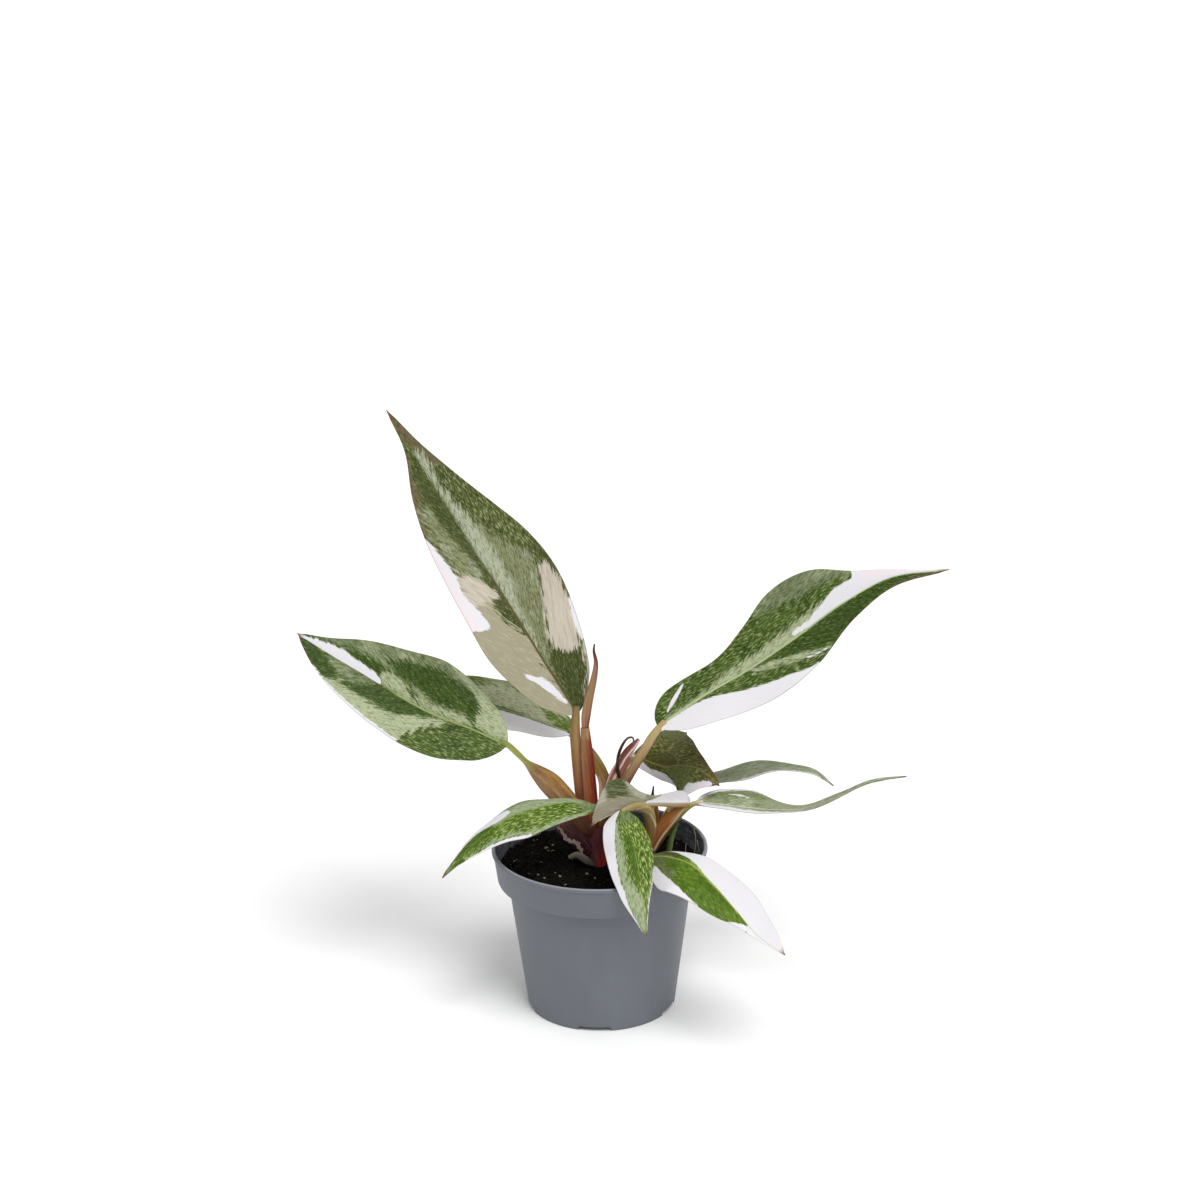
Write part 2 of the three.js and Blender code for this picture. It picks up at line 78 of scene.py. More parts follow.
# blades, in millimetres at even steps from the stalk to the tip: spine is the midrib, face points out of the
# upper side, left and right are half-widths and fold is how many degrees each half is turned up.
# zones are drawn as bands (place along, from, to), -1 the left margin, 0 the midrib, 1 the right.
# midrib is its colour, its width at the base, how strongly it shows and, where it fades, how far along.
# petiole, thick, flat, tones and marks are the stalk's path from the leaf down, its half-widths, how deep it is
# for its width, its colours and its lines. ragged, speckle and mottle say how uneven the pattern is
LEAVES = {
    "leaf_tall": dict(
        spine=rows("-11 2 171, -28 8 198, -45 16 225, -62 26 251, -79 34 277, -96 40 305, -112 42 333"),
        face=rows(".1 -.95 .3, .1 -.95 .3, .2 -.9 .35"),
        left=[10, 19.5, 25.5, 25, 23.5, 20.5, 14, 3.5, .5],
        right=[10, 22, 29.5, 33, 30.5, 23, 14, 6, .5],
        fold=(10, 10), wave=1.5, waves=3,
        petiole=rows("-11.5 2 175, -12.5 2 161.5, -12 2 150, -11 3 135, -9.5 3.5 120, -6 2.5 108, -2 0 101"),
        thick=[1.8, 2.8, 3, 3.1, 3.2, 3.2, 3.2],
        tones="75633c 85693a 8c6238 935c3c 8a4a32 6a2a22",
        # right_tones hold a painted highlight: the lighter golden colours on the stalk's right side, where the light
        # falls
        right_tones="8f7a54 a58258 a87c58 a06848 8a4a32 5c2a22",
        midrib=("574c2e", 1.2, .9, .6), palette="tall",
        # the small grey zone from .14 to .19 along, right of the midrib, is a painted reflection: a bluish gleam near
        # the base
        zones=zoned("""
            tan 0 -1 0, .26 -1 -.01, .28 -1 -.1, .3 -1 -.17, .34 -1 -.29, .385 -1 -.31, .4 -1 -.06, .415 -1 -.14,
                .46 -1 -.27, .49 -1 -.51, .515 -1 -.7;
            cream .395 -.72 -.06, .415 -.75 -.14, .46 -.75 -.27, .49 -.72 -.51, .51 -.7 -.66;
            cream .16 .6 .88, .19 .35 .92, .22 .3 1, .25 .37 1, .3 .5 .95, .35 .64 .95, .38 .7 .93, .405 .76 .9;
            cream .04 .88 1, .1 .9 1, .17 .94 1;
            grey .13 .02 .12, .17 0 .15, .2 0 .23, .25 0 .37, .3 0 .5, .35 0 .64, .4 0 .74, .45 0 .79, .5 0 .6,
                .55 .02 .5, .6 .03 .4;
            sage .22 .03 .08, .33 .03 .12, .42 .02 .25, .5 .01 .3, .55 .02 .3, .6 .03 .33, .7 .05 .28, .8 .05 .3,
                .86 .1 .5;
            grey .44 -.5 -.2, .48 -.65 -.12, .55 -.72 -.1, .6 -.8 -.25, .66 -.85 -.35, .72 -.9 -.45;
            grey .14 .3 .6, .16 .28 .66, .19 .33 .65;
            dark .27 -.11 -.01, .3 -.17 -.01, .34 -.29 -.01, .385 -.31 -.01, .4 -.1 -.01, .5 -.12 -.01, .6 -.3 -.01,
                .7 -.5 -.01, .8 -.6 -.05, .86 -.5 -.1;
            dark 0 .05 .95, .08 .1 .9, .14 .12 .9, .17 .15 .92, .19 .3 .9, .2 .7 .9;
            dark .29 .95 1, .35 .95 1, .42 .88 1, .46 .85 1;
            brown .62 -1 -.85, .7 -1 -.75, .8 -1 -.65, .86 -1 -.6;
            brown .8 .35 1, .88 .1 1, .93 -1 1, 1 -1 1;
            white .04 -.25 -.1, .07 -.35 -.12, .1 -.42 -.16, .125 -.46 -.22, .143 -.52 -.3, .155 -.6 -.45,
                .17 -.62 -.55;
            white .33 -.75 -.57, .35 -1 -.6, .38 -1 -.63, .41 -1 -.69, .455 -1 -.76, .5 -1 -.7, .56 -1 -.77,
                .6 -1 -.86, .64 -1 -.98;
            white .17 .93 1, .23 .9 1, .29 .95 1;
            blush .33 -1 -.85, .45 -1 -.85, .62 -1 -.92"""),
    ),
    "leaf_left": dict(
        spine=rows("-50 0 154, -70 5 162, -91 10 169, -110 16 178, -129 23 188, -148 29 198, -166 36 208"),
        face=rows("-.1 -.75 .65, -.1 -.75 .65"),
        left=[11, 18.5, 24, 24.5, 23, 21, 17, 10, .5],
        right=[10, 17.5, 26.5, 29, 26.5, 22, 15.5, 7.5, .5],
        fold=(10, 10), wave=1.5, waves=3,
        petiole=rows("-54 1.5 155, -49.5 0 154, -44.5 -1 149.5, -39.5 -1 144, -34 -1 138.5, -28.5 -1 133, "
                     "-23.5 -1.5 127.5, -16.5 -3 119.5, -8 -4.5 107, -3 -2 101"),
        thick=[1.4, 1.6, 1.6, 1.7, 4, 5.8, 6.2, 5.6, 4, 3], flat=.5,
        tones="8a9648 9aa052 a3a45a a09a58 94755a 987a58 94704a 80563a 6b4430 5c2a22",
        right_tones="707c38 7d8640 858a44 7d7a40 7a5a34 8f6a38 8c6538 7a5230 6b4430 5c2a22",
        marks=marked("a88c74 .5: .42 -.35, .5 -.1, .75 0; 94723e .9: .44 .6, .5 .8, .78 .85; "
                      "6a4a30 .5: .41 -.6, .44 .3"),
        midrib=("96a468", .9, .7, .65), palette="green",
        # the first grey zone, towards the margin from .2 to .95 along, is a painted sheen: the bluish reflection of
        # the bright surroundings on the blade
        zones=zoned("""
            grey .2 .8 1, .28 .75 1, .45 .7 1, .5 .5 1, .6 .36 1, .7 .47 1, .8 .7 1, .95 .75 1;
            grey .2 .1 .28, .3 .06 .22, .4 .08 .28, .48 .18 .4;
            sage 0 .05 1, .05 .04 1, .1 .08 1, .15 .12 1, .175 .5 1, .2 .8 1, .25 .86 1, .3 .9 1, .36 .96 1;
            sage .17 .05 .11, .2 .05 .2, .28 .03 .2, .36 .03 .12, .45 .02 .15, .53 .02 .33, .58 .02 .36, .61 .15 .3;
            dark .165 .37 .6, .18 .36 .7, .23 .3 .78, .3 .25 .8, .36 .27 .8, .43 .32 .8, .5 .38 .78, .56 .45 .74,
                .61 .55 .68;
            dark .61 .2 .36, .64 .2 .46, .7 .24 .47, .76 .36 .42;
            dark .31 -.05 -.01, .35 -.12 -.01, .39 -.21 -.01, .46 -.42 -.01, .5 -.48 -.01, .565 -.5 -.01,
                .6 -.52 -.02, .62 -.54 -.2, .645 -.57 -.34, .69 -.6 -.57;
            dark .76 -.62 -.45, .8 -.85 -.3, .85 -.95 -.2, .9 -1 -.1, 1 -1 -.05;
            grey .6 -.15 -.01, .65 -.3 -.01, .72 -.45 -.02, .78 -.5 -.03, .83 -.4 -.05;
            sage .27 -.1 -.05, .3 -.3 -.06, .315 -.2 -.07, .33 -.48 -.08, .345 -.36 -.1, .365 -.75 -.14, .38 -.6 -.18,
                .4 -1 -.22, .42 -1 -.3, .46 -1 -.42, .5 -1 -.48, .56 -1 -.5, .6 -1 -.53, .64 -1 -.57, .69 -1 -.6,
                .75 -1 -.65, .8 -1 -.85, .85 -1 -.95;
            white .585 0 .05, .6 0 .15, .65 0 .2, .7 0 .25, .76 0 .36, .8 0 .49, .88 0 .56, .95 -.03 .57, 1 -.3 .5;
            white .4 -1 -.95, .5 -1 -.93, .62 -1 -.93, .75 -1 -.93, .86 -1 -.97;
            brown .97 .3 1, 1 .2 1"""),
    ),
    "leaf_right": dict(
        spine=rows("33 6 161, 58 10 177, 85 14 192, 110 16 209, 135 16 228, 161 14 243, 191 10 248"),
        face=rows(".1 -.8 .6, .1 -.8 .6"),
        left=[13.5, 14, 14, 21, 29, 26, 11, 2.5, .5],
        right=[7, 14.5, 20, 22.5, 20, 13, 8, 4.5, .5],
        fold=(8, 8), wave=1.5, waves=3,
        petiole=rows("37 7 164, 30.5 6.3 156, 24.8 5.5 146.5, 18.6 4.8 136, 12.6 3.5 125.5, 6.5 1.5 113.5, 1 0 104"),
        thick=[1.7, 2.3, 2.5, 2.6, 2.8, 2.9, 3],
        tones="a89468 ad9668 a88c68 98755a 8c5b45 5c2a22",
        right_tones="b8a474 b09a74 8f7048 6b4a38 6b4030 5c2a22",
        midrib=("a9b88a", 1, .8), palette="green", ragged=.8,
        zones=zoned("""
            grey .43 -1 -.85, .49 -1 -.73, .57 -1 -.57, .64 -1 -.62, .71 -1 -.75, .73 -1 -.9;
            sage .03 -.08 0, .18 -.12 0, .24 -.24 0, .31 -.34 0, .36 -.28 0, .44 -.25 0, .5 -.23 0, .55 -.25 -.01,
                .6 -.27 -.02, .63 -.22 -.1;
            sage .33 .04 .14, .37 .12 .24, .4 .17 .32, .45 .32 .48, .48 .4 .6, .5 .5 .64, .53 .7 .8, .56 .86 .95;
            dark .41 .03 .12, .47 .03 .36, .5 .05 .46, .53 .08 .66, .57 .1 .9, .63 .1 1, .71 .08 1, .8 .1 .9,
                .87 .1 .62, .93 .15 .4;
            white .49 -.12 -.05, .55 -.13 -.01, .6 -.2 -.01, .63 -.3 -.01, .66 -.4 -.01, .7 -.52 0, .725 -.65 0,
                .735 -1 0, .8 -1 0, .9 -1 .08, 1 -1 .2;
            white .05 -.4 -.3, .07 -.5 -.36, .1 -.7 -.5, .12 -.82 -.66, .135 -.9 -.8;
            white 0 .05 1, .1 .05 1, .15 .1 1, .2 .22 1, .25 .37 1, .3 .47 1, .35 .57 1, .4 .66 1, .45 .8 1, .48 .9 1,
                .51 .97 1;
            white .49 .62 .66, .52 .74 .79, .55 .86 .92;
            brown .81 .55 1, .87 .6 1, .91 .32 1, .96 .1 1;
            blush .76 -1 -.5, .85 -1 -.3, 1 -1 1"""),
    ),
    "leaf_back_left": dict(
        spine=rows("-14 24 151, -29 29 155, -44 34 159, -59 39 162, -74 44 164, -90 47 166, -106 50 167"),
        face=rows("-.05 -.45 .9, -.1 -.5 .85"),
        left=[5, 9, 12, 15.5, 16, 15, 13, 7.5, .5],
        right=[9, 11, 13.5, 16.5, 18.5, 18, 14, 8, .5],
        fold=(6, 6), wave=1.2, waves=3,
        petiole=rows("-17 25 151, -7 18 146, -1 12 138, 3 8 129, 3 4 119, 1 2 110, 0 0 104"),
        thick=[1.3, 1.8, 3, 3.2, 3, 2.6, 2.4], flat=.5,
        tones="8c8a4e 8a7a3c 93763c a8846a 8c5f45 5c2a22",
        right_tones="6c6a34 6a5c2c 75602c 7a5a3c 6c4a35 5c2a22",
        marks=marked("bd9c82 1.6: .45 -.95, .55 -.75, .75 -.6"),
        # its palette is lightened to make up for the shade that falls on it: painted light
        midrib=("a9b58a", .7, .8), palette="back",
        zones=zoned("""
            sage .12 .05 .25, .2 0 .45, .28 0 .7, .35 .05 .85, .5 0 .85, .6 -.3 .6, .9 -.3 .6;
            sage .06 .75 .85, .1 .72 .95, .14 .7 .8;
            dark .3 -.08 .02, .4 -.08 .08, .5 -.08 .08, .6 -.05 .05;
            grey .45 .88 1, .55 .55 1, .62 .4 1;
            white 0 -1 -.15, .1 -1 -.12, .3 -1 -.08, .45 -1 -.1, .52 -1 -.4"""),
    ),
    "leaf_back_centre": dict(
        spine=rows("20 60 124, 29 52 122, 38 44 122, 46 36 126, 54 28 128, 61 19 127, 67 9 124.5"),
        face=rows("0 -.5 .85, .1 -.6 .8, .4 -.6 .7"),
        left=[22, 26, 27, 24.5, 17.5, 10, 5.5, 3, .5],
        right=[5, 6, 7, 9, 14, 19, 18, 9, .5],
        fold=(6, -34), wave=1, waves=2,
        petiole=rows("23.5 57 123.3, 17 44 125, 11 25 121, 5 11 113, 1 3 105, 0 0 101"),
        thick=[1.4, 1.6, 1.8, 2, 2.2, 2.4],
        tones="8c8a4e 937a45 8f7040 8c5f45 5c2a22",
        midrib=("7f7f4e", 1, .7), palette="olive", speckle=.8,
        zones=zoned("""
            grey 0 -1 -.75, .3 -1 -.7, .45 -1 -.8, .6 -1 -.95;
            dark .1 -.25 .1, .3 -.3 .05, .45 -.2 0;
            dark .1 0 .2, .2 0 .4, .3 0 .4;
            sage .33 .02 .3, .38 .02 .6, .45 .02 .85, .55 .02 .87, .62 .02 .8, .67 .02 .6;
            white 0 .2 1, .1 .25 1, .2 .5 1, .3 .55 1, .35 .5 1, .4 .8 1, .45 .9 1, .5 .95 1;
            white .62 .87 1, .65 .7 1, .7 .5 1, .8 .5 1, .9 .3 1, .95 .4 1;
            brown .5 -1 -.9, .7 -1 -.75, .85 -1 -.5, 1 -1 .3;
            blush .82 .3 1, .92 .3 1"""),
    ),
    "leaf_back_right": dict(
        spine=rows("52 48 108, 66 51 111, 80 53 114, 94 53 117, 109 51 118, 123 47 117, 134 44 109"),
        face=rows("0 .05 1, 0 .08 1, .3 0 .9"),
        left=[5, 11, 11, 12, 10, 7, 4, 2, .5],
        right=[5, 9, 13.5, 16, 16.5, 13, 10, 5.5, .5],
        fold=(4, 4), wave=1, waves=2,
        petiole=rows("55 49 108.5, 46 38 108, 38 24 102, 31 11 94, 26 3 85, 24 0 79"),
        thick=[1.3, 1.5, 1.6, 1.8, 2, 2],
        tones="9a9a62 8c8a4e 937a45 8f6a40 7a4326",
        midrib=("7b8458", .8, .6), palette="sage", mottle=.45,
        zones=zoned("""
            grey .05 -.4 .15, .4 -.5 .1, .8 -.3 .1;
            white .3 .9 1, .6 .88 1, .9 .9 1;
            grey .2 .5 .8, .6 .45 .8"""),
    ),
    "leaf_far_right": dict(
        spine=rows("54 14 113, 73 8 113, 93 4 112, 113 2 113, 132 0 121, 149 -2 130, 169 -4 134"),
        face=rows("0 -.3 .95, 0 .1 1, 0 .15 1"),
        left=[8, 15, 18, 11, 6, 5, 4.5, 3, .5],
        right=[4, 5, 6.5, 7, 6.5, 9, 9, 3.5, .5],
        fold=(4, 4), wave=.8, waves=3,
        petiole=rows("58 13 113, 52 12 112, 46 9.5 108, 38.5 7 99.5, 31 4.5 90, 25.5 1.5 82, 24 0 77"),
        thick=[1.3, 1.5, 1.7, 1.8, 2, 2.2, 2.2],
        tones="c9bfa8 9a9452 858438 8f7a3c 8f6432 7a4326",
        right_tones="b9af98 6c6a30 6c6a2c 7a5a2c 7a4a26 6a3822",
        midrib=("c9cdb8", .8, .8), palette="sage", mottle=.45,
        zones=zoned("""
            dark .06 -.85 -.4, .12 -.9 -.35, .25 -.92 -.45, .33 -.85 -.6;
            grey .3 -.9 -.1, .5 -.8 .2, .7 -.6 .3;
            white 0 -1 -.3, .06 -1 -.7, .15 -1 -.88, .27 -1 -.94, .34 -1 -.98;
            white 0 .2 1, .1 .4 1, .2 .55 1, .4 .75 1, .5 .95 1;
            white .14 -.62 -.56, .2 -.6 -.5, .24 -.5 -.46;
            brown .9 -1 1, 1 -1 1"""),
    ),
    "leaf_front_right": dict(
        spine=rows("25 -26 98, 37 -38 103, 50 -50 103, 61 -61 96, 72 -71 86, 83 -79 75, 97 -86 67"),
        face=rows(".2 -.45 .85, .3 -.65 .65, .4 -.7 .5"),
        left=[3.5, 7.5, 9, 13, 16, 17, 16, 11.5, .5],
        right=[4.5, 13.5, 22, 23, 17, 12, 5, 1.5, .5],
        fold=(-14, -4), wave=.8, waves=3,
        petiole=rows("28 -28.5 99, 23.5 -19 96.5, 23 -10 91, 23 -4 84, 23 0 79"),
        thick=[1.2, 1.5, 1.6, 1.8, 1.8],
        tones="b9b39a a59a68 937a45 7a4326",
        midrib=("a9b45a", .8, .6), palette="lime", speckle=.1, ragged=.5,
        # the first dark zone, from .15 to .27 along beside the midrib, is a painted shadow
        zones=zoned("""
            brown 0 -1 -.1, .1 -.9 0, .2 -.6 -.1, .25 -.45 -.2;
            grey 0 -.6 .7, .1 -.3 .68, .16 -.1 .66, .2 0 .64, .26 .3 .62, .31 .5 .6;
            dark .15 .1 .2, .19 .08 .34, .24 .12 .4, .27 .2 .36;
            dark .42 .1 .35, .55 .05 .3, .66 .02 .2;
            sage .3 -.3 -.12, .36 -.12 0, .45 -.03 .06, .58 0 .07, .68 0 .08;
            white .12 -1 -.85, .2 -1 -.6, .25 -1 -.42, .3 -1 -.25, .36 -1 -.1, .42 -1 -.01, .76 -1 0, .79 -1 1,
                1 -1 1;
            white .69 .96 1, .72 .7 1, .75 .35 1, .78 0 1;
            white .05 .75 1, .15 .6 1, .3 .65 1, .4 .75 1, .5 .93 1, .55 1 1;
            tan 0 -1 -.85, .16 -1 -.88, .2 -1 -.95;
            cream .78 0 .06, .9 -.03 .12, 1 -.2 .2"""),
    ),
    "leaf_front": dict(
        spine=rows("12 -18 122, 15 -31 118, 18 -43 113, 20 -55 107, 22 -66 99, 23 -74 88, 24 -80 76"),
        face=rows("0 -.6 .8, 0 -.85 .5, 0 -1 .1"),
        left=[5, 8.5, 9.5, 10, 9, 7, 4, 2, .5],
        right=[8.5, 13, 15.5, 16, 15.5, 14, 11.5, 6, .5],
        fold=(-12, -12), wave=.8, waves=3,
        petiole=rows("12 -19.5 121.7, 20 -12.5 121.5, 26.5 -7 116.5, 28.5 -3 103, 25.5 -1 89, 23 0 80"),
        thick=[1.1, 2.6, 3.2, 2.8, 2.2, 1.8], flat=.5,
        tones="a0946c 94835a 806c40 80602e 7a4a2a",
        right_tones="8f8450 9c8a5c 948052 8a5a32 7a4a2a",
        marks=marked("c9bb8c .6: .3 -.8, .45 .5; c4b484 .5: .2 -.5, .34 .8; cfc39a .8: .42 .3, .56 .95"),
        midrib=("7d9a48", .6, .4), palette="bright", speckle=1, ragged=.5,
        # the grey zone from .02 to .13 along, at the stalk, is a painted shadow
        zones=zoned("""
            sage .1 .32 .45, .2 .36 .55, .3 .33 .62, .4 .36 .67, .5 .4 .7, .6 .42 .76, .7 .2 .75, .75 -.1 .8,
                .85 -.3 .9, 1 -.5 1;
            grey .02 -.9 .3, .09 -.8 .3, .13 -.5 .25;
            dark .25 0 .2, .35 -.05 .25, .5 -.05 .25, .64 0 .2;
            sage .55 -1 -.88, .7 -1 -.82, .95 -1 -.8;
            white 0 .3 1, .1 .4 1, .2 .5 1, .3 .6 1, .4 .64 1, .5 .68 1, .6 .76 1, .7 .72 1, .8 .8 1, .97 .9 1;
            white .55 -1 -.97, .7 -1 -.92, .97 -1 -.9"""),
    ),
    "leaf_front_left": dict(
        spine=rows("1 -13 122, -15 -18 127, -31 -23 127, -47 -28 124, -61 -33 116, -74 -39 106, -85 -44 95"),
        face=rows("-.1 -.3 .95, -.1 -.35 .93, -.3 -.35 .88"),
        left=[4, 8.5, 12.5, 15, 15, 11.5, 7, 3, .5],
        right=[4, 6.5, 9.5, 12, 11, 9.5, 7.5, 4.5, .5],
        fold=(-20, -20), wave=.8, waves=3,
        petiole=rows("-2 -14 122.7, 2.5 -10.5 118, 1.5 -5 110, -1 0 103"),
        thick=[1.2, 1.5, 1.7, 1.8],
        tones="7d8458 8a6a4a 5c2a22",
        midrib=("7f9a4c", .6, .5), palette="bright", speckle=.8, ragged=.5,
        zones=zoned("""
            grey 0 -1 1, .06 -1 1, .1 -.7 1, .14 -.2 1, .2 .3 1, .3 .85 1;
            sage .1 .1 .6, .2 .05 1, .35 .02 .85, .45 0 .75, .55 0 .7, .62 .1 .5;
            grey .33 .8 1, .4 .68 1, .5 .72 1, .6 .8 1;
            sage .08 -1 -.8, .2 -1 -.84, .35 -1 -.86, .5 -1 -.8;
            sage .5 -.82 -.72, .6 -.82 -.66, .72 -.8 -.66, .78 -.77 -.7;
            dark .62 -.1 .3, .68 -.3 .6, .8 -.3 .7, .88 -.2 .6;
            white .5 .3 .7, .55 .15 .9, .6 .2 1, .65 .4 1, .7 .62 1, .8 .75 1, .95 .8 1;
            white .44 -1 -.94, .55 -1 -.86, .7 -1 -.84, .85 -1 -.92;
            grey .92 -1 1, 1 -1 1"""),
    ),
    "leaf_small": dict(
        spine=rows("50 3 117, 41 -2 119, 32 -6 121, 22 -10 122, 13 -15 121, 3 -19 119, -5 -23 115"),
        face=rows("0 .3 .95, 0 .3 .95"),
        left=[6, 7.5, 6, 4.5, 8, 17.5, 19, 8, .5],
        right=[3, 4, 4, 3.5, 5, 8, 8, 4, .5],
        fold=(70, 45), wave=0, waves=1,
        petiole=rows("49 2.5 116.5, 45.5 2.5 114.5, 41.5 2 111.5, 36.5 1 105.5, 31 -.5 97.5, 25 -1 84"),
        thick=[1.3, 2.4, 3.6, 4, 3.6, 2.6], flat=.55,
        tones="8c7048 8a6034 8a5628 80502a 704326",
        marks=marked("c0a080 1.3: .03 .85, .5 .78, .9 .7; a8805c .6: .1 .45, .55 .4; cdb898 .7: .2 -.95, .45 -.85"),
        midrib=("b3ab92", .6, .8), palette="grey", under=.08, ragged=.4, speckle=.1, mottle=.2,
        zones=zoned("""
            white 0 -1 1, .3 -1 1, .38 -.5 1, .44 -.2 .6;
            dark .6 -.8 -.5, .64 -1 -.42, .72 -1 -.42, .77 -.9 -.55;
            sage .44 -1 -.5, .52 -1 -.5, .58 -1 -.75, .62 -1 -.93;
            sage .78 -1 -.5, .84 -1 -.3, .92 -1 -.3;
            tan .46 -.3 0, .55 -.42 0, .64 -.4 0, .74 -.42 0, .8 -.55 0, .87 -.9 0, .92 -1 0, 1 -1 0;
            cream .4 .75 1, .6 .8 1, .95 .8 1"""),
    ),
}

# stems, sheaths, shoots and scales: paths from one end to the other with half-widths across the view
# and along it in millimetres, and colours along the path on the left and on the right side
SHOOTS = {
    "main_stem": dict(
        path=rows("-1 0 64, -1 0 80, -2 0 92, -2 0 103, -3 0 111"),
        wide=[3.4, 4.6, 4.4, 4.6, 3.2], deep=[3.4, 4.2, 4, 4, 2.8], slot="stem",
        tones="7a3c38 784038 6a4044 6c4042 74423a", right="96251c 9c281e 703030 66343a 7a3226",
    ),
    "second_shoot": dict(
        path=rows("22 0 66, 23 0 80, 24 0 88, 25 1 92"),
        wide=[2.6, 3.6, 3.4, 2.4], deep=[2.6, 3.2, 3, 2.2], slot="stem",
        tones="6a3322 7d4126 96552b a2602c", right="6a3322 8a4726 a0602c a8682c",
    ),
    "green_sprout": dict(
        path=rows("38 8 72, 38 8 82, 39 7 88, 40 6 94, 42 6 100, 44 6 103"),
        wide=[1.2, 1.6, 1.8, 1.6, 1.2, .6], deep=[1.2, 1.5, 1.6, 1.4, 1.1, .6], slot="stem",
        tones="6f7a53 5c6a3d 566a32 41602a 3d5228", right="7f8a63 7c8a5d 6f8752 61704a 4d5a38",
    ),
    "new_leaf_sheath": dict(
        path=rows("-7 -1.5 164, -6 -2 148, -5 -2 132, -4 -2.5 118, -2.5 -2 108, -2 0 103"),
        wide=[2.4, 3.4, 3.7, 3.8, 3.8, 3], deep=[1.8, 2.3, 2.6, 2.8, 2.8, 2.4], slot="sheath", split=.1,
        tones="96764e 8a6240 925836 96522e 944426 702e1e", right="7c3a26 6e2014 6c180d 6c150b 68120a 5c160e",
        marks=marked("94704e 0: .05 -1, .08 .6, 0 1; b08c70 .4: .05 -1, .075 -.2; "
                      "9c6a50 .6: .16 -.75, .5 -.8, 1 -.8"),
    ),
    "new_leaf_spear": dict(
        path=rows("-1.1 -1 212, -1.5 -1 208, -.5 -1 201, -1.8 -1 192, -4.5 -1 181, -6.3 -1 171, -6.9 -1.5 164.4"),
        wide=[.4, .7, 1.2, 1.8, 2.4, 2.5, 2], deep=[.4, .7, 1.1, 1.6, 1.9, 1.9, 1.5], slot="sheath",
        tones="3a1a1e 5a2c2a 8c6250 94785c 987c5a 9a785c 98705a",
        right="3a1a1e 4c1c1c 6a3230 86604a 8c6c4c 7a4a34 702c24",
    ),
    "right_sheath": dict(
        path=rows("22.5 3 155, 17 2 148.5, 12.5 1.5 140, 8 .5 131, 3.5 -.5 116, 0 0 106"),
        wide=[1, 2.7, 3.5, 3.7, 3.2, 2.4], deep=[.7, 1.2, 1.6, 2, 2, 2], slot="sheath",
        tones="6a3a30 6b3a2e 7a4a38 8a5a42 8f5a42 5c2a22", right="8a5f52 7c5040 80523e 986a4c 8f5a42 5c2a22",
        marks=marked("d2b6b4 1.1: 0 .5, .12 .45, .3 0, .45 -.1, .6 -.15; c9aaa2 .5: .1 .9, .25 .7; "
                      "d0b4a8 .6: .3 -.92, .7 -.85"),
    ),
    "old_sheath": dict(
        path=rows("-22 -1 106.5, -16 -1.5 103.5, -10 -1.5 98, -4 -1 90"),
        wide=[4, 6.5, 6.5, 4.5], deep=[1, 2, 2.6, 2.4], slot="sheath",
        tones="6b4038 5c3436 4c262c 431e24", right="7a4e46 6a3c40 582c34 4c262c",
    ),
    "pointed_sheath": dict(
        path=rows("23.5 1 81, 26.5 3 91, 28.7 4 102, 29.7 4 111, 29.5 4 118, 29.8 3.5 122, 30.3 3 127"),
        wide=[2.6, 3.4, 3.8, 3.6, 2.2, .9, .4], deep=[1.6, 1.9, 2, 1.8, 1.3, .8, .4], slot="sheath",
        tones="6a3320 854820 8a4c1c 80501f 7a4a24 4a2a30 2e1e22",
        right="6a3320 854820 90561f 86591f 7a4a24 4a2a30 2e1e22",
        marks=marked("b89a58 .7: .45 -.1, .6 .3; a5763c .5: .2 .9, .55 .85"),
    ),
    "dry_tendril": dict(
        path=rows("11.5 -.6 134, 10.6 -1.8 140, 11 -2 147, 13 -2 153, 16 -1 157, 19 -1 157.5, 19.5 -1 154"),
        wide=[1, 1, .9, .8, .6, .5, .4], deep=[.7, .7, .6, .6, .6, .5, .4], slot="dry_husk",
        tones="4a2c28 3a2622 3a2a24 4c382c 6a5a4c", right="4a2c28 2c1816 2a1a16 342418 6a5a4c",
    ),
    "dry_scale": dict(
        path=rows("-17 -5 88.5, -12 -6.5 90.5, -7 -7 87, -3 -6 84.2"),
        wide=[1.2, 2, 2, 1.2], deep=[.6, .8, .8, .6], slot="dry_husk",
        tones="857a70 70655c 5c5048 4a4038", right="8a8078 756a62 60564e 4a4038",
    ),
}

# blade colours of the zones, in the order of SHADES
SHADES = ("body", "deep", "speck", "sage", "grey", "tan", "brown", "white")
PALETTES = {
    "green": "516429 33461a a0ab78 a6ae8c 757e60 97917a 645a40 d5d3d7",
    "tall": "5f673a 404823 a2a680 abb09a 828664 97917a 6c6048 d5d3d7",
    # back is painted light: a lighter copy of the greens for leaf_back_left, making up for the shade that the leaves
    # in front cast on it
    "back": "7f9446 5c7232 c4cc9c ccd0b0 a3ad86 9c967f 6c6048 f2f0f4",
    "bright": "5c7428 445e1c b2bc78 9aa784 6a7654 9c927a 6a6a3a d5d3d7",
    "lime": "5c7826 456018 7f9640 97a85c 666c4c 9c927a 4e4a2c d5d3d7",
    "olive": "666638 47471f 8f9260 626e36 6a6c50 6e5a36 6a5030 d5d3d7",
    "sage": "a6aa92 6c7a4e bec2a8 b0b49c 92967c 8a7c70 86847a d5d3d7",
    "grey": "b2ac96 424e22 b4b09a b4b2a0 888870 908a76 6e5a36 d5d3d7",
}

# the kinds of zone that each colour attribute of a blade holds, and each vertex's place on the blade
LAYERS = {
    "zone_a": ("white", "sage", "dark"),
    "zone_b": ("grey", "tan", "cream"),
    "zone_c": ("brown", "blush", "rib"),
    "place": ("margin", "tip", "off_rib"),
}
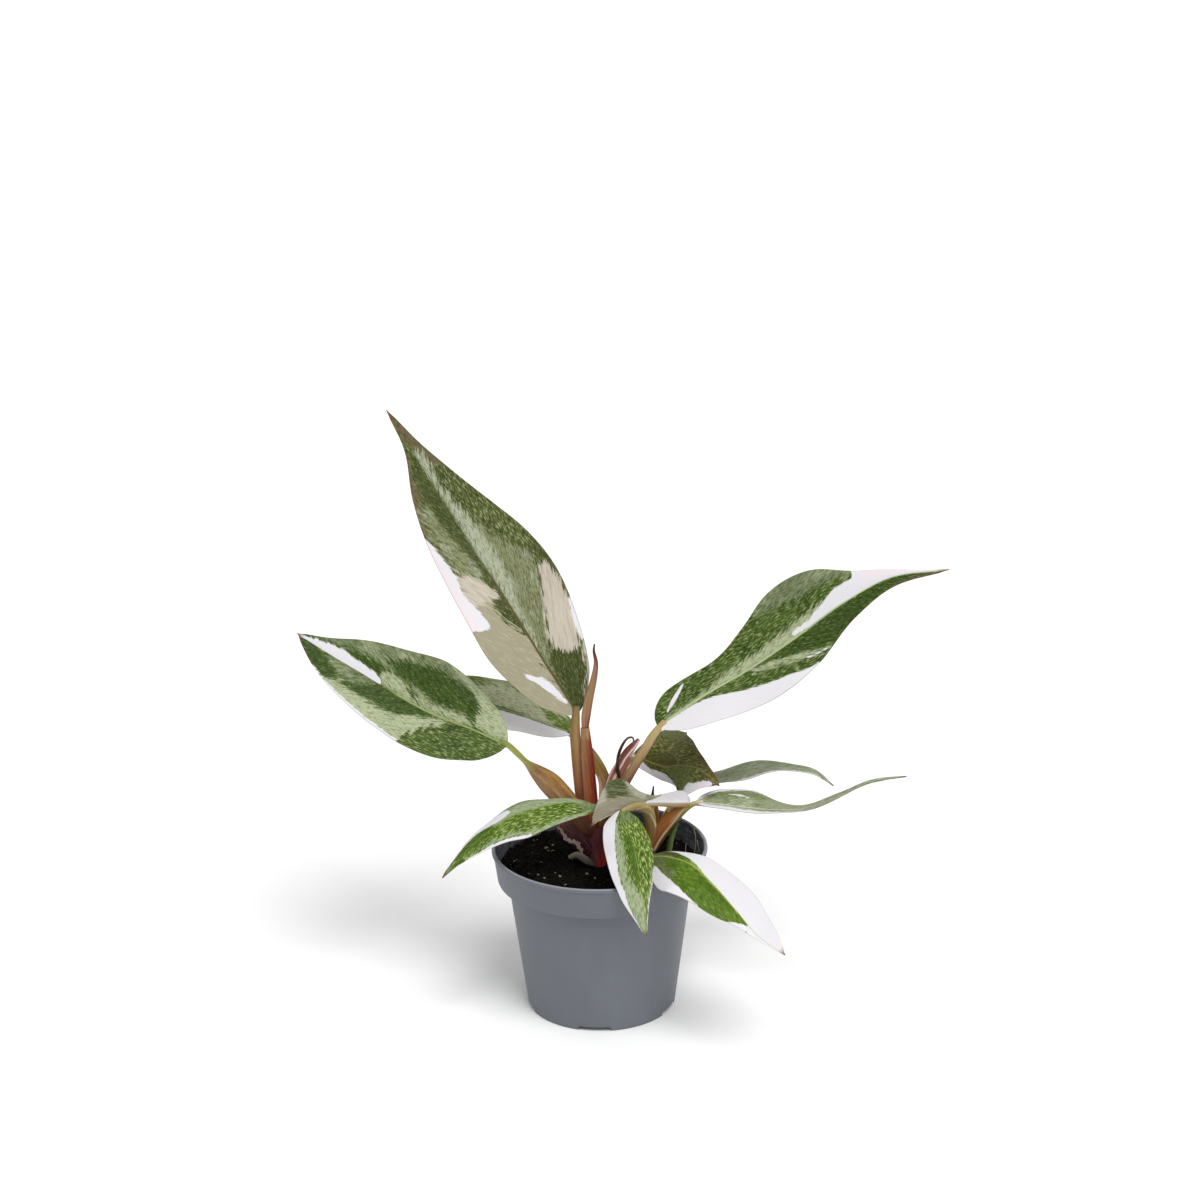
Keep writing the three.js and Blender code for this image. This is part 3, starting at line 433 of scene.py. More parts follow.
# how soft the edge of each kind of zone is, in millimetres, and how far it wanders, as a share
EDGES = {"white": (0.35, 0.6), "sage": (1.1, 2.4), "dark": (0.9, 2.6), "grey": (1.8, 3.0), "tan": (0.5, 2.2),
         "cream": (0.8, 2.2), "brown": (1.8, 2.4), "blush": (5.0, 1.0)}


def linear(hex_colour, alpha=1.0):
    """An sRGB hex colour as linear values with an alpha."""
    values = [int(hex_colour[i:i + 2], 16) / 255 for i in (0, 2, 4)]
    return (*[v / 12.92 if v <= 0.04045 else ((v + 0.055) / 1.055) ** 2.4 for v in values], alpha)


# ---- curves and points

def through(values, place):
    """Points of a smooth curve through evenly spaced values, at places from 0 to 1."""
    v = np.asarray(values, float)
    flat = v.ndim == 1
    v = v.reshape(len(v), -1)
    last = len(v) - 1
    x = np.clip(np.asarray(place, float), 0, 1) * last
    i = np.minimum(x.astype(int), last - 1)
    f = (x - i)[..., None]
    row = np.vstack([2 * v[0] - v[1], v, 2 * v[-1] - v[-2]])
    a, b, c, d = (row[i + k] for k in range(4))
    out = 0.5 * (2 * b + (c - a) * f + (2 * a - 5 * b + 4 * c - d) * f ** 2 + (3 * b - a - 3 * c + d) * f ** 3)
    return out[..., 0] if flat else out


def unit(v):
    """Vectors of length one."""
    return v / np.maximum(np.linalg.norm(v, axis=-1, keepdims=True), 1e-9)


def heading(points, place):
    """Direction of a curve at places from 0 to 1."""
    step = 0.01
    return unit(through(points, np.minimum(place + step, 1)) - through(points, np.maximum(place - step, 0)))


def length_of(points):
    """Length of the smooth curve through points."""
    return np.linalg.norm(np.diff(through(points, np.linspace(0, 1, 80)), axis=0), axis=1).sum()


def eased(value, low, high):
    """How far a value has gone from low to high, 0 to 1 with soft ends."""
    part = np.clip((value - low) / (high - low), 0, 1)
    return part * part * (3 - 2 * part)


def waves(x, y, seed, turns=5):
    """A smooth uneven pattern between about -1 and 1, a sum of plane waves in random directions."""
    random = np.random.default_rng(seed)
    total = np.zeros(np.broadcast(x, y).shape)
    for k in range(turns):
        turn, phase, size = random.uniform(0, 2 * math.pi), random.uniform(0, 2 * math.pi), 1 + 0.6 * k
        total = total + np.sin(size * (x * math.cos(turn) + y * math.sin(turn)) + phase) / size
    return total / 1.6


# ---- meshes

def deselect():
    """Nothing selected and object mode."""
    if bpy.context.object and bpy.context.object.mode != "OBJECT":
        bpy.ops.object.mode_set(mode="OBJECT")
    bpy.ops.object.select_all(action="DESELECT")


def choose(*pieces):
    """Only these pieces selected, the first one active."""
    deselect()
    for piece in pieces:
        piece.select_set(True)
    bpy.context.view_layer.objects.active = pieces[0]


def woven(name, columns, rows_along):
    """A flat grid whose vertices carry their place (across, along) from 0 to 1."""
    deselect()
    bpy.ops.mesh.primitive_grid_add(x_subdivisions=columns, y_subdivisions=rows_along, size=2)
    piece = bpy.context.object
    piece.name = piece.data.name = name
    co = np.empty(len(piece.data.vertices) * 3)
    piece.data.vertices.foreach_get("co", co)
    co = co.reshape(-1, 3)
    return piece, (co[:, 0] + 1) / 2, (co[:, 1] + 1) / 2


def put(piece, points):
    """Moves a piece's vertices to points in millimetres."""
    piece.data.vertices.foreach_set("co", (points * MM).ravel())
    piece.data.update()


def unwrap(piece, name, across, along):
    """A UV map from each vertex's own distances, in metres for millimetres given."""
    layer = piece.data.uv_layers.get(name) or piece.data.uv_layers.new(name=name)
    corner = np.empty(len(piece.data.loops), int)
    piece.data.loops.foreach_get("vertex_index", corner)
    layer.data.foreach_set("uv", (np.stack([across, along], 1)[corner] * MM).ravel())


def paint(piece, name, values):
    """A colour at each vertex, kept as an attribute that a material reads."""
    layer = piece.data.attributes.new(name, "FLOAT_COLOR", "POINT")
    rgba = np.ones((len(values), 4))
    rgba[:, :values.shape[1]] = values
    layer.data.foreach_set("color", rgba.ravel())


def edit(piece, *steps):
    """Runs edit-mode steps on all of a piece; a step is an operator with its settings."""
    choose(piece)
    bpy.ops.object.mode_set(mode="EDIT")
    bpy.ops.mesh.select_all(action="SELECT")
    for operator, settings in steps:
        operator(**settings)
    bpy.ops.object.mode_set(mode="OBJECT")


def modify(piece, kind, **settings):
    """Adds a modifier with its settings and applies it."""
    choose(piece)
    bpy.ops.object.modifier_add(type=kind)
    modifier = piece.modifiers[-1]
    for key, value in settings.items():
        setattr(modifier, key, value)
    bpy.ops.object.modifier_apply(modifier=modifier.name)


def join(*pieces):
    """Joins pieces into the first."""
    choose(*pieces)
    bpy.ops.object.join()
    return pieces[0]


def close(piece, tolerance=1e-6):
    """Merges a grid's doubles, closes its ends and turns its faces outwards."""
    edit(piece, (bpy.ops.mesh.remove_doubles, {"threshold": tolerance}),
         (bpy.ops.mesh.select_all, {"action": "DESELECT"}), (bpy.ops.mesh.select_non_manifold, {}),
         (bpy.ops.mesh.fill_holes, {"sides": 0}))
    edit(piece, (bpy.ops.mesh.normals_make_consistent, {"inside": False}))


def finish(piece, slot, *nodes, angle=40):
    """Smooth shading, the body it rides on and the nodes that it stands for, which it hides; slot, the finish, is not
    used.
    """
    choose(piece)
    bpy.ops.object.shade_smooth_by_angle(angle=math.radians(angle))
    deselect()
    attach(piece, "root")
    if nodes:
        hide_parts(*nodes)
    return piece


def tube(name, path, wide, deep, tones, right=None, sides=20, rings=60, shape=None, marks=(), split=0.0):
    """A closed oval tube along a path, coloured along its left and its right side. A mark on its front is
    a colour, a width and a way of (place along, -1 left to 1 right); width 0 fills from the start to the way.
    split is how far to the right the right side's colour begins."""
    piece, around, along = woven(name, sides, rings)
    ahead = heading(path, along)
    depth = np.array([0.0, 1.0, 0.0]) - ahead * ahead[:, 1:2]
    steep = np.linalg.norm(depth, axis=1) < 0.3
    depth[steep] = np.array([0.0, 0.0, 1.0]) - ahead[steep] * ahead[steep, 2:3]
    depth = unit(depth)
    across = np.cross(depth, ahead)
    angle = 2 * math.pi * around
    w, d = (np.maximum(through(half, along), THINNEST) for half in (wide, deep))
    scale = shape(angle, along) if shape else 1.0
    ring = across * (np.cos(angle) * w * scale)[:, None] + depth * (np.sin(angle) * d * scale)[:, None]
    put(piece, through(path, along) + ring)
    unwrap(piece, "UVMap", around * 2 * math.pi * np.mean(wide), along * length_of(path))
    side = np.cos(angle) * np.sign(across[:, 0] + 1e-6)
    left, other = (through([linear(tone)[:3] for tone in text.split()], along) for text in (tones, right or tones))
    share = (0.5 + 0.5 * np.clip((side - split) * (1.6 + split), -1, 1))[:, None]
    tone = left * (1 - share) + other * share
    for colour, width, way in marks:
        at, turn = (np.array(column, float) for column in zip(*way))
        if width:
            on = 1 - eased(np.abs(side - np.interp(along, at, turn)) * w, width / 2 - 0.2, width / 2 + 0.2)
            on = on * (along >= at[0]) * (along <= at[-1])
        else:
            on = 1 - eased(along - np.interp(side, turn, at), -0.006, 0.006)
        on = (on * (np.sin(angle) < 0.35))[:, None]
        tone = tone * (1 - on) + np.array(linear(colour)[:3]) * on
    paint(piece, "tone", np.clip(tone, 0, 1))
    close(piece)
    return piece


# ---- materials

def add(tree, kind, inputs=None, out=0, **settings):
    """Adds a shader node with its settings, and values or links for its sockets, and gives its output."""
    made = tree.nodes.new("ShaderNode" + kind)
    for key, value in settings.items():
        setattr(made, key, value)
    for key, value in (inputs or {}).items():
        if isinstance(value, bpy.types.NodeSocket):
            tree.links.new(value, made.inputs[key])
        else:
            made.inputs[key].default_value = value
    return made.outputs[out] if made.outputs else made


def surface(name):
    """A material with an empty node tree, and that tree."""
    material = bpy.data.materials.get(name) or bpy.data.materials.new(name)
    material.use_nodes = True
    material.node_tree.nodes.clear()
    return material, material.node_tree


def covered(material, colour, relief=None, strength=0.0, depth=0.0, **sockets):
    """Ends a material: a relief with its depth in millimetres, and the shader with its colour and its sockets,
    each named by its words with _ between them."""
    tree = material.node_tree
    inputs = {key.replace("_", " "): value for key, value in sockets.items()}
    if relief:
        inputs["Normal"] = add(tree, "Bump", {"Height": relief, "Strength": strength, "Distance": depth * MM})
    add(tree, "OutputMaterial", {0: add(tree, "BsdfPrincipled", {"Base Color": colour, **inputs})})
    return material


def blended(tree, colour, *layers):
    """Lays colours over each other. Each layer's factor is a number, a socket, or a socket with the values
    between which it goes from none to full, and its full strength."""
    colour = linear(colour) if isinstance(colour, str) else colour
    for factor, over in layers:
        if isinstance(factor, tuple):
            factor = add(tree, "MapRange", dict(zip(("Value", "From Min", "From Max", "To Max"), factor)))
        over = linear(over) if isinstance(over, str) else over
        colour = add(tree, "Mix", {0: factor, 6: colour, 7: over}, 2, data_type="RGBA")
    return colour


def streaks(tree, vector, across, along, detail=3.0, upward=None):
    """Uneven streaks, of a width and a length in millimetres, on metres."""
    sizes = [1 / (size * MM) for size in (across, along, upward or along)]
    way = add(tree, "Mapping", {"Vector": vector, "Scale": sizes})
    return add(tree, "TexNoise", {"Vector": way, "Scale": 1.0, "Detail": detail, "Roughness": 0.6})


def blade_material(name, leaf, under):
    """Waxy living leaf of a philodendron: a satin cuticle over streaky tissue, softly glossy and a little
    translucent; the pigments run out along the side veins, as on a variegated plant."""
    material, tree = surface(name)
    look = dict(zip(SHADES, PALETTES[leaf["palette"]].split()))
    green, deep, speck = look["body"], look["deep"], look["speck"]
    speckle, wander = leaf.get("speckle", 0.35), leaf.get("ragged", 1.0) / FIELD
    uv, veins = (add(tree, "UVMap", uv_map=key) for key in ("UVMap", "veins"))
    field = {}
    for layer, keys in LAYERS.items():
        stored = add(tree, "Attribute", attribute_name=layer)
        field.update(zip(keys, add(tree, "SeparateColor", {0: stored}, slice(3))))
    # pigment streaks 8 mm by 3.4 mm and 3 mm by 1.1 mm along the side veins, dashes of 0.55 mm by 3.6 mm
    # along the leaf, grains of about 1 mm and clouds of about 10 mm
    broad = streaks(tree, veins, 8, 3.4, 4.0)
    fine = streaks(tree, veins, 3, 1.1)
    dash = streaks(tree, uv, 0.55, 3.6, 1.0)
    grain = streaks(tree, veins, 1.3, 0.9, 2.0)
    cloud = streaks(tree, uv, 9, 14)
    # the zones' edges wander by 1 to 3 mm along the veins, least the white's, but stay sharp at the midrib
    drift = add(tree, "Math", {0: broad, 1: 6 * wander, 2: -5.5 * wander}, operation="MULTIPLY_ADD")
    drift = add(tree, "Math", {0: fine, 1: 5 * wander, 2: drift}, operation="MULTIPLY_ADD")
    zone = {}
    for key, (soft, roam) in EDGES.items():
        free = add(tree, "MapRange", {"Value": field["off_rib"], "From Max": 0.6, "To Max": roam})
        moved = add(tree, "Math", {0: drift, 1: free, 2: field[key]}, operation="MULTIPLY_ADD")
        zone[key] = add(tree, "MapRange", {"Value": moved, "From Min": 0.5 - soft / FIELD,
                                           "From Max": 0.5 + soft / FIELD}, interpolation_type="SMOOTHSTEP")
    low = 0.575 - 0.045 * speckle
    colour = blended(tree, deep, ((cloud, 0.38, 0.6, 0.7), green), ((broad, 0.47, 0.6, 0.6), green),
                     ((fine, 0.5, 0.36, 0.35), deep), ((dash, low, low + 0.07, 0.5 + 0.2 * speckle), speck))
    brown = blended(tree, look["brown"], ((fine, 0.5, 0.62, 0.6), deep))
    grey = blended(tree, look["grey"], ((cloud, 0.5, 0.62, 0.5), look["sage"]), ((fine, 0.5, 0.6, 0.75), deep),
                   ((grain, 0.56, 0.66, 0.5), speck))
    sage = blended(tree, look["sage"], ((broad, 0.5, 0.62, 0.35), look["grey"]),
                   ((fine, 0.55, 0.66, 0.4), look["grey"]), ((grain, 0.6, 0.7, 0.35), "d3d6c4"))
    dark = blended(tree, deep, ((broad, 0.5, 0.66, 0.45), green), ((grain, 0.58, 0.66, 0.45), speck))
    tan = blended(tree, look["tan"], ((fine, 0.55, 0.68, 0.5), "c8c2b2"), ((broad, 0.45, 0.32, 0.3), look["grey"]))
    cream = blended(tree, "b9b1a2", ((broad, 0.5, 0.62, 0.55), "a08f80"), ((fine, 0.57, 0.68, 0.5), "dad6cc"))
    white = blended(tree, look["white"], (zone["blush"], "dcd0d4"), ((fine, 0.62, 0.74, 0.3), "b7bba2"))
    # side veins, faintly seen on the green parts only
    vein = add(tree, "TexWave", {"Vector": veins, "Scale": WAVE_PERIOD / (VEIN_GAP * MM), "Distortion": 0.5,
                                 "Detail": 1.0}, 1, wave_type="BANDS", bands_direction="Y", wave_profile="SIN")
    vein = add(tree, "Math", {0: vein, 1: 8.0}, operation="POWER")
    colour = blended(tree, colour, (zone["brown"], brown), (zone["grey"], grey), (zone["sage"], sage),
                     (zone["dark"], dark), ((vein, 0.3, 1.0, 0.06), speck))
    # dark dashes mottle the green tissue; over it lie the pale tissues, the midrib, a thin dry rim and a dry tip
    mottle = add(tree, "MapRange", {"Value": dash, "From Min": 0.5, "From Max": 0.38,
                                    "To Max": leaf.get("mottle", 0.8)})
    colour = add(tree, "Mix", {0: mottle, 6: colour, 7: (0.5, 0.53, 0.4, 1)}, 2, data_type="RGBA",
                 blend_type="MULTIPLY")
    rib, _, strength = leaf["midrib"][:3]
    colour = blended(tree, colour, (zone["tan"], tan), (zone["cream"], cream), (zone["white"], white),
                     ((field["rib"], 0.6, 0.35, strength), rib), ((field["margin"], 0.97, 1.0, 0.5), "6e6450"),
                     ((field["tip"], 0.96, 1.0, 1.0), "6a3a32"))
    if under:
        colour = blended(tree, colour, (leaf.get("under", 0.35), "8f8674"))
    relief = add(tree, "Math", {0: vein, 1: -0.3, 2: grain}, operation="MULTIPLY_ADD")
    gloss = add(tree, "MapRange", {"Value": cloud, "To Min": 0.36 + 0.16 * under, "To Max": 0.52 + 0.16 * under})
    return covered(material, colour, relief, 0.3, 0.3, IOR=1.45, Roughness=gloss, Specular_IOR_Level=0.07,
                   Subsurface_Weight=0.08, Subsurface_Radius=(0.6, 1.0, 0.3), Subsurface_Scale=0.8 * MM)


def stalk_material(name, gloss, streaking):
    """Fleshy stalk or sheath with a smooth cuticle: satin highlights, fine lengthwise fibres and small
    dark freckles; its own colour changes along it."""
    material, tree = surface(name)
    uv = add(tree, "UVMap", uv_map="UVMap")
    tone = add(tree, "Attribute", attribute_name="tone")
    # fibres 0.8 mm apart and 12 mm long, blotches of 2 by 5 mm, freckles of 0.9 mm
    fibre = streaks(tree, uv, 0.8, 12, 4.0)
    blotch = streaks(tree, uv, 2, 5)
    freckle = streaks(tree, uv, 0.7, 0.9, 2.0)
    dark = blended(tree, tone, (0.45, "2c1410"))
    colour = blended(tree, tone, ((fibre, 0.52, 0.72, streaking), blended(tree, tone, (0.4, "d0b890"))),
                     ((fibre, 0.48, 0.28, streaking), dark), ((blotch, 0.55, 0.68, 0.5 * streaking), dark),
                     ((freckle, 0.62, 0.72, 0.4), "35241a"))
    return covered(material, colour, fibre, 0.4, 0.2, Roughness=gloss, IOR=1.45, Specular_IOR_Level=0.14,
                   Subsurface_Weight=0.06, Subsurface_Radius=(1.0, 0.4, 0.2), Subsurface_Scale=1.0 * MM)


def pot_material(name, colour, inner_shade):
    """Polypropylene, injection moulded with a fine matte tool texture: soft broad sheen, faint flow marks
    and dust, no sharp reflections; painted shade darkens the step under the band, a painted highlight
    lightens the lip's edge and the inside wall has painted shade."""
    material, tree = surface(name)
    place = add(tree, "TexCoord", out="Object")
    # tool texture 0.25 mm drawn at 0.4 mm, flow marks some 20 mm wide, scuffs of 6 by 1.5 mm
    grain = streaks(tree, place, 0.4, 0.4, 2.0)
    flow = streaks(tree, place, 18, 18, 4.0, 60)
    scuff = streaks(tree, place, 6, 6, 6.0, 1.5)
    height = add(tree, "SeparateXYZ", {0: place}, 2)
    # the heights of the step and of the lip, and how far their painted shade and painted highlight reach, in
    # millimetres
    step, lip = (add(tree, "Math", {0: height, 1: z * MM, 2: reach * MM}, operation="COMPARE")
                 for z, reach in ((74.8, 0.55), (93.6, 0.3)))
    # the last three layers are painted light: shade on the inside wall of the second copy, shade in the step under
    # the band and a highlight on the lip's edge; the flow marks and scuffs are the plastic's own
    tint = blended(tree, colour, ((flow, 0.4, 0.75, 0.14), "858a93"), ((scuff, 0.66, 0.78, 0.22), "50535a"),
                   ((scuff, 0.3, 0.6, inner_shade), "16161a"), ((step, 0, 1, 0.6), "24262a"), ((lip, 0, 1, 0.4), "a4a8b0"))
    gloss = add(tree, "MapRange", {"Value": flow, "To Min": 0.42, "To Max": 0.58})
    return covered(material, tint, grain, 0.25, 0.1, IOR=1.49, Roughness=gloss, Specular_IOR_Level=0.3)


def soil_material(name, dark, light, size, roughness=0.95):
    """Moist peat and bark mix: nearly black, rough and crumbly, with browner fibres."""
    material, tree = surface(name)
    place = add(tree, "TexCoord", out="Object")
    crumb = add(tree, "TexVoronoi", {"Vector": place, "Scale": 1 / (size * MM)})
    fibre = streaks(tree, place, 1.7 * size, 1.7 * size, 8.0)
    colour = blended(tree, dark, ((fibre, 0.5, 0.75, 1.0), light))
    relief = add(tree, "Math", {0: crumb, 1: fibre}, operation="ADD")
    return covered(material, colour, relief, 0.9, 0.6, Roughness=roughness, Specular_IOR_Level=0.1)


def floor_material():
    """Matte painted studio floor: white and even, with no gloss."""
    material, tree = surface("studio_floor_matte_white")
    cloud = streaks(tree, add(tree, "TexCoord", out="Object"), 400, 400, 2.0)
    return covered(material, blended(tree, "f6f6f6", (cloud, "f9f9f9")), Roughness=0.9, Specular_IOR_Level=0.1)


# ---- blades

def faces_up(leaf, t):
    """Directions along a blade and out of its upper face, at places from stalk to tip."""
    ahead = heading(leaf["spine"], t)
    up = through(leaf["face"], t)
    return ahead, unit(up - ahead * (up * ahead).sum(1, keepdims=True))


def zone_fields(zones, t, x, left_half, right_half, length):
    """How deep each vertex of a blade lies inside each kind of zone, as 0 to 1 over FIELD millimetres."""
    fields = {key: np.full(len(t), -FIELD / 2) for keys in LAYERS.values() for key in keys}
    for key, band in zones:
        at, *sides = (np.array(column, float) for column in zip(*band))
        low, high = (np.interp(t, at, side) for side in sides)
        # a side at a margin, -1 or 1, lies OUTSIDE, so that the zone has no edge there
        low_x = np.where(low <= -0.999, -OUTSIDE, low * np.where(low < 0, left_half, right_half))
        high_x = np.where(high >= 0.999, OUTSIDE, high * np.where(high < 0, left_half, right_half))
        depth = np.minimum(x - low_x, high_x - x)
        if at[0] > 0:
            depth = np.minimum(depth, (t - at[0]) * length)
        if at[-1] < 1:
            depth = np.minimum(depth, (at[-1] - t) * length)
        fields[key] = np.maximum(fields[key], depth)
    return {key: np.clip(value / FIELD + 0.5, 0, 1) for key, value in fields.items()}


def build_leaf(name, index, materials):
    """One leaf: its blade, the ridge under its midrib and its stalk, as one piece."""
    leaf = LEAVES[name]
    blade, across, along = woven(name + "_leaf", 44, 150)
    u = across * 2 - 1
    t = along ** 1.3
    ahead, up = faces_up(leaf, t)
    right = np.cross(ahead, up)
    # half-widths: round at the stalk, pointed at the tip
    rounding = np.sqrt(1 - (1 - np.minimum(t / 0.1, 1)) ** 2)
    left_half, right_half = (np.maximum(through(leaf[key], t) * rounding, 0.5) for key in ("left", "right"))
    half = np.where(u > 0, right_half, left_half)
    half = np.where(t > DRIP_TIP, half * (1 - (t - DRIP_TIP) / (1 - DRIP_TIP) * 0.6), half)
    fold = np.radians(np.where(u > 0, leaf["fold"][1], leaf["fold"][0])) * np.minimum(half / 4, 1)
    broad = max(leaf["left"] + leaf["right"])
    ripple = leaf["wave"] * np.sin(2 * math.pi * leaf["waves"] * t + np.where(u > 0, 0, 1.9)) * u * u * half / broad
    out = np.abs(u) * half
    points = through(leaf["spine"], t) + right * (np.sign(u) * out * np.cos(fold))[:, None]
    points = points + up * (out * np.sin(fold) + ripple)[:, None]
    length = length_of(leaf["spine"])
    x, v = u * half, t * length
    # distance along the midrib at which the side vein through a point leaves it
    q = v - VEIN_SLANT * out - VEIN_BEND * out * out
    # the tissue swells between the side veins, arches to the margin and sinks at the midrib
    normal = unit(up * np.cos(fold)[:, None] - right * (np.sign(u) * np.sin(fold))[:, None])
    swell = np.abs(np.sin(math.pi * q / VEIN_GAP)) ** 0.6
    inner = np.clip(out / 3, 0, 1) * np.clip((1 - np.abs(u)) * 4, 0, 1)
    arch = 0.8 * np.sin(math.pi * np.abs(u)) * half / broad
    lift = arch + 0.12 * (swell - 0.6) * inner - 0.3 * np.exp(-(x / 1.1) ** 2) * (1 - t)
    put(blade, points + normal * lift[:, None])
    # each leaf reads its own stretch of the patterns
    shift = LEAF_SHIFT * index
    unwrap(blade, "UVMap", x, v + shift)
    unwrap(blade, "veins", x, q + shift)
    fields = zone_fields(leaf["zones"], t, x, left_half, right_half, length)
    width, reach = leaf["midrib"][1], (*leaf["midrib"], 2)[3]
    fields["rib"] = np.clip(np.abs(x) / (width * (1 - 0.7 * t) + 0.2) + eased(t, reach - 0.2, reach), 0, 1)
    fields.update(margin=np.abs(u), tip=t, off_rib=np.clip(out / 4, 0, 1))
    for layer, keys in LAYERS.items():
        paint(blade, layer, np.stack([fields[key] for key in keys], 1))
    group = blade.vertex_groups.new(name="thick")
    for k, weight in enumerate(1 - 0.55 * np.abs(u) ** 3):
        group.add([k], float(weight), "REPLACE")
    for material in materials:
        blade.data.materials.append(material)
    modify(blade, "SOLIDIFY", thickness=BLADE_THICK * MM, offset=-1.0, vertex_group="thick", material_offset=1,
           material_offset_rim=0, use_even_offset=False)
    blade.vertex_groups.clear()
    thick, tones = leaf["thick"], leaf["tones"]
    deep = [max(w * leaf.get("flat", 0.85), 1.1) for w in thick]
    stalk = tube(name + "_stalk", leaf["petiole"], thick, deep, tones, leaf.get("right_tones"), sides=48, rings=90,
                 shape=channel if "flat" in leaf else groove, marks=leaf.get("marks", ()))
    at = np.linspace(0, 0.9, 14)
    size = np.maximum(thick[0] * (1 - np.arange(14) / 13) ** 0.8, 0.35)
    path = through(leaf["spine"], at) - faces_up(leaf, at)[1] * (0.8 * size + 0.5)[:, None]
    fading = tones.split()[0] + " " + leaf["midrib"][0]
    ridge = tube(name + "_ridge", path, size, size * 0.8, fading, sides=12, rings=70)
    for part in (stalk, ridge):
        part.data.materials.append(materials[2])
    join(blade, stalk, ridge)
    blade.name = name + "_living"
    return finish(blade, "leaf", name, angle=50)


def groove(angle, along):
    """A shallow groove on the upper side of a stalk."""
    turn = np.mod(angle + math.pi * 0.5, 2 * math.pi) - math.pi
    return 1 - 0.14 * np.exp(-(turn / 0.5) ** 2) * np.clip(along * 3, 0, 1)


def channel(angle, along):
    """A sheath's open boat shape: a ridge at each side and a keel line."""
    return 1 + 0.05 * np.cos(2 * angle) + 0.03 * np.cos(7 * angle + 6 * along)


def torn(angle, along):
    """The torn edges of a dry strip."""
    return 1 + 0.3 * np.cos(angle) * np.sin(41 * along) + 0.25 * np.sin(2 * angle + 67 * along) * np.sin(23 * along)


# ---- soil

def soil_height(x, y, top):
    """Height of the soil's lumpy top, in millimetres, with lumps of some 40, 12 and 5 mm."""
    bumps = 0.9 * waves(x * 0.16, y * 0.16, 3) + 0.55 * waves(x * 0.5, y * 0.5, 4, 8)
    bumps = bumps + 0.4 * waves(x * 1.3, y * 1.3, 5, 8)
    return top + bumps * np.clip((SOIL_EDGE - np.hypot(x, y)) / 3, 0.15, 1)


def strewn(spots, count, sizes, stretch, seed, top):
    """Grains on the soil, at the given spots and at count random ones, each dented and turned its own way."""
    random = np.random.default_rng(seed)
    deselect()
    bpy.ops.mesh.primitive_ico_sphere_add(subdivisions=1, radius=1)
    grain = bpy.context.object
    base = np.array([v.co[:] for v in grain.data.vertices])
    for _ in range(count):
        far, turn = 55.0 * math.sqrt(random.uniform(0, 1)), random.uniform(0, 2 * math.pi)
        spots.append((far * math.cos(turn), far * math.sin(turn), random.uniform(*sizes)))
    copies = []
    for x, y, size in spots:
        spin = Matrix.Rotation(random.uniform(0, 6.28), 3, "Z")
        spin = spin @ Matrix.Rotation(random.uniform(-0.5, 0.5), 3, "X")
        dents = 1 + 0.35 * random.uniform(-1, 1, len(base))
        shape = base * dents[:, None] * np.array(stretch) * size
        copy = grain.copy()
        copy.data = grain.data.copy()
        bpy.context.collection.objects.link(copy)
        put(copy, shape @ np.array(spin).T + np.array([x, y, float(soil_height(x, y, top)) + 0.25 * size]))
        copies.append(copy)
    bpy.data.objects.remove(grain)
    return join(*copies)


# ---- operators

class PHILODENDRON_OT_stage(bpy.types.Operator):
    """Makes the pale floor, the soft studio light and the camera"""

    bl_idname = "philodendron.stage"
    bl_label = "Stage"

    def execute(self, context):
        settings = context.scene.philodendron_stage
        deselect()
        bpy.ops.mesh.primitive_plane_add(size=30)
        floor = context.object
        floor.name = "floor"
        edit(floor, (bpy.ops.mesh.subdivide, {"number_cuts": 3}))
        floor.data.materials.append(floor_material())
        world = bpy.data.worlds.new("soft_white")
        context.scene.world = world
        world.use_nodes = True
        world.node_tree.nodes.clear()
        back = add(world.node_tree, "Background", {0: (1, 1, 1, 1), 1: settings.fill})
        add(world.node_tree, "OutputWorld", {0: back})
        where = Vector((0.24, -0.47, 0.85)) * 2
        bpy.ops.object.light_add(type="SUN", location=where)
        light = context.object
        light.name = "large_softbox"
        light.data.energy = settings.key
        light.data.angle = settings.softness
        light.rotation_mode = "QUATERNION"
        light.rotation_quaternion = (-where).to_track_quat("-Z", "Y")
        bpy.ops.object.camera_add()
        camera = context.object
        camera.name = "camera"
        camera.data.lens = settings.lens
        camera.data.sensor_width = 36
        camera.data.clip_start, camera.data.clip_end = 0.05, 60
        # seen from the pot's rim the camera stands this high, looks down this much and leans this much
        elevation, pitch, roll = (math.radians(a) for a in (23.78, 18.21, -0.81))
        distance = settings.distance
        right, ahead = Vector((1, 0, 0)), Vector((0, math.cos(pitch), -math.sin(pitch)))
        up = Vector((0, math.sin(pitch), math.cos(pitch)))
        turned = right * math.cos(roll) + up * math.sin(roll)
        upright = -right * math.sin(roll) + up * math.cos(roll)
        spot = Vector((0.0022, -distance * math.cos(elevation), distance * math.sin(elevation) + 0.0937))
        camera.matrix_world = Matrix.Translation(spot) @ Matrix((turned, upright, -ahead)).transposed().to_4x4()
        context.scene.camera = camera
        context.scene.view_settings.view_transform = "Standard"
        return {"FINISHED"}


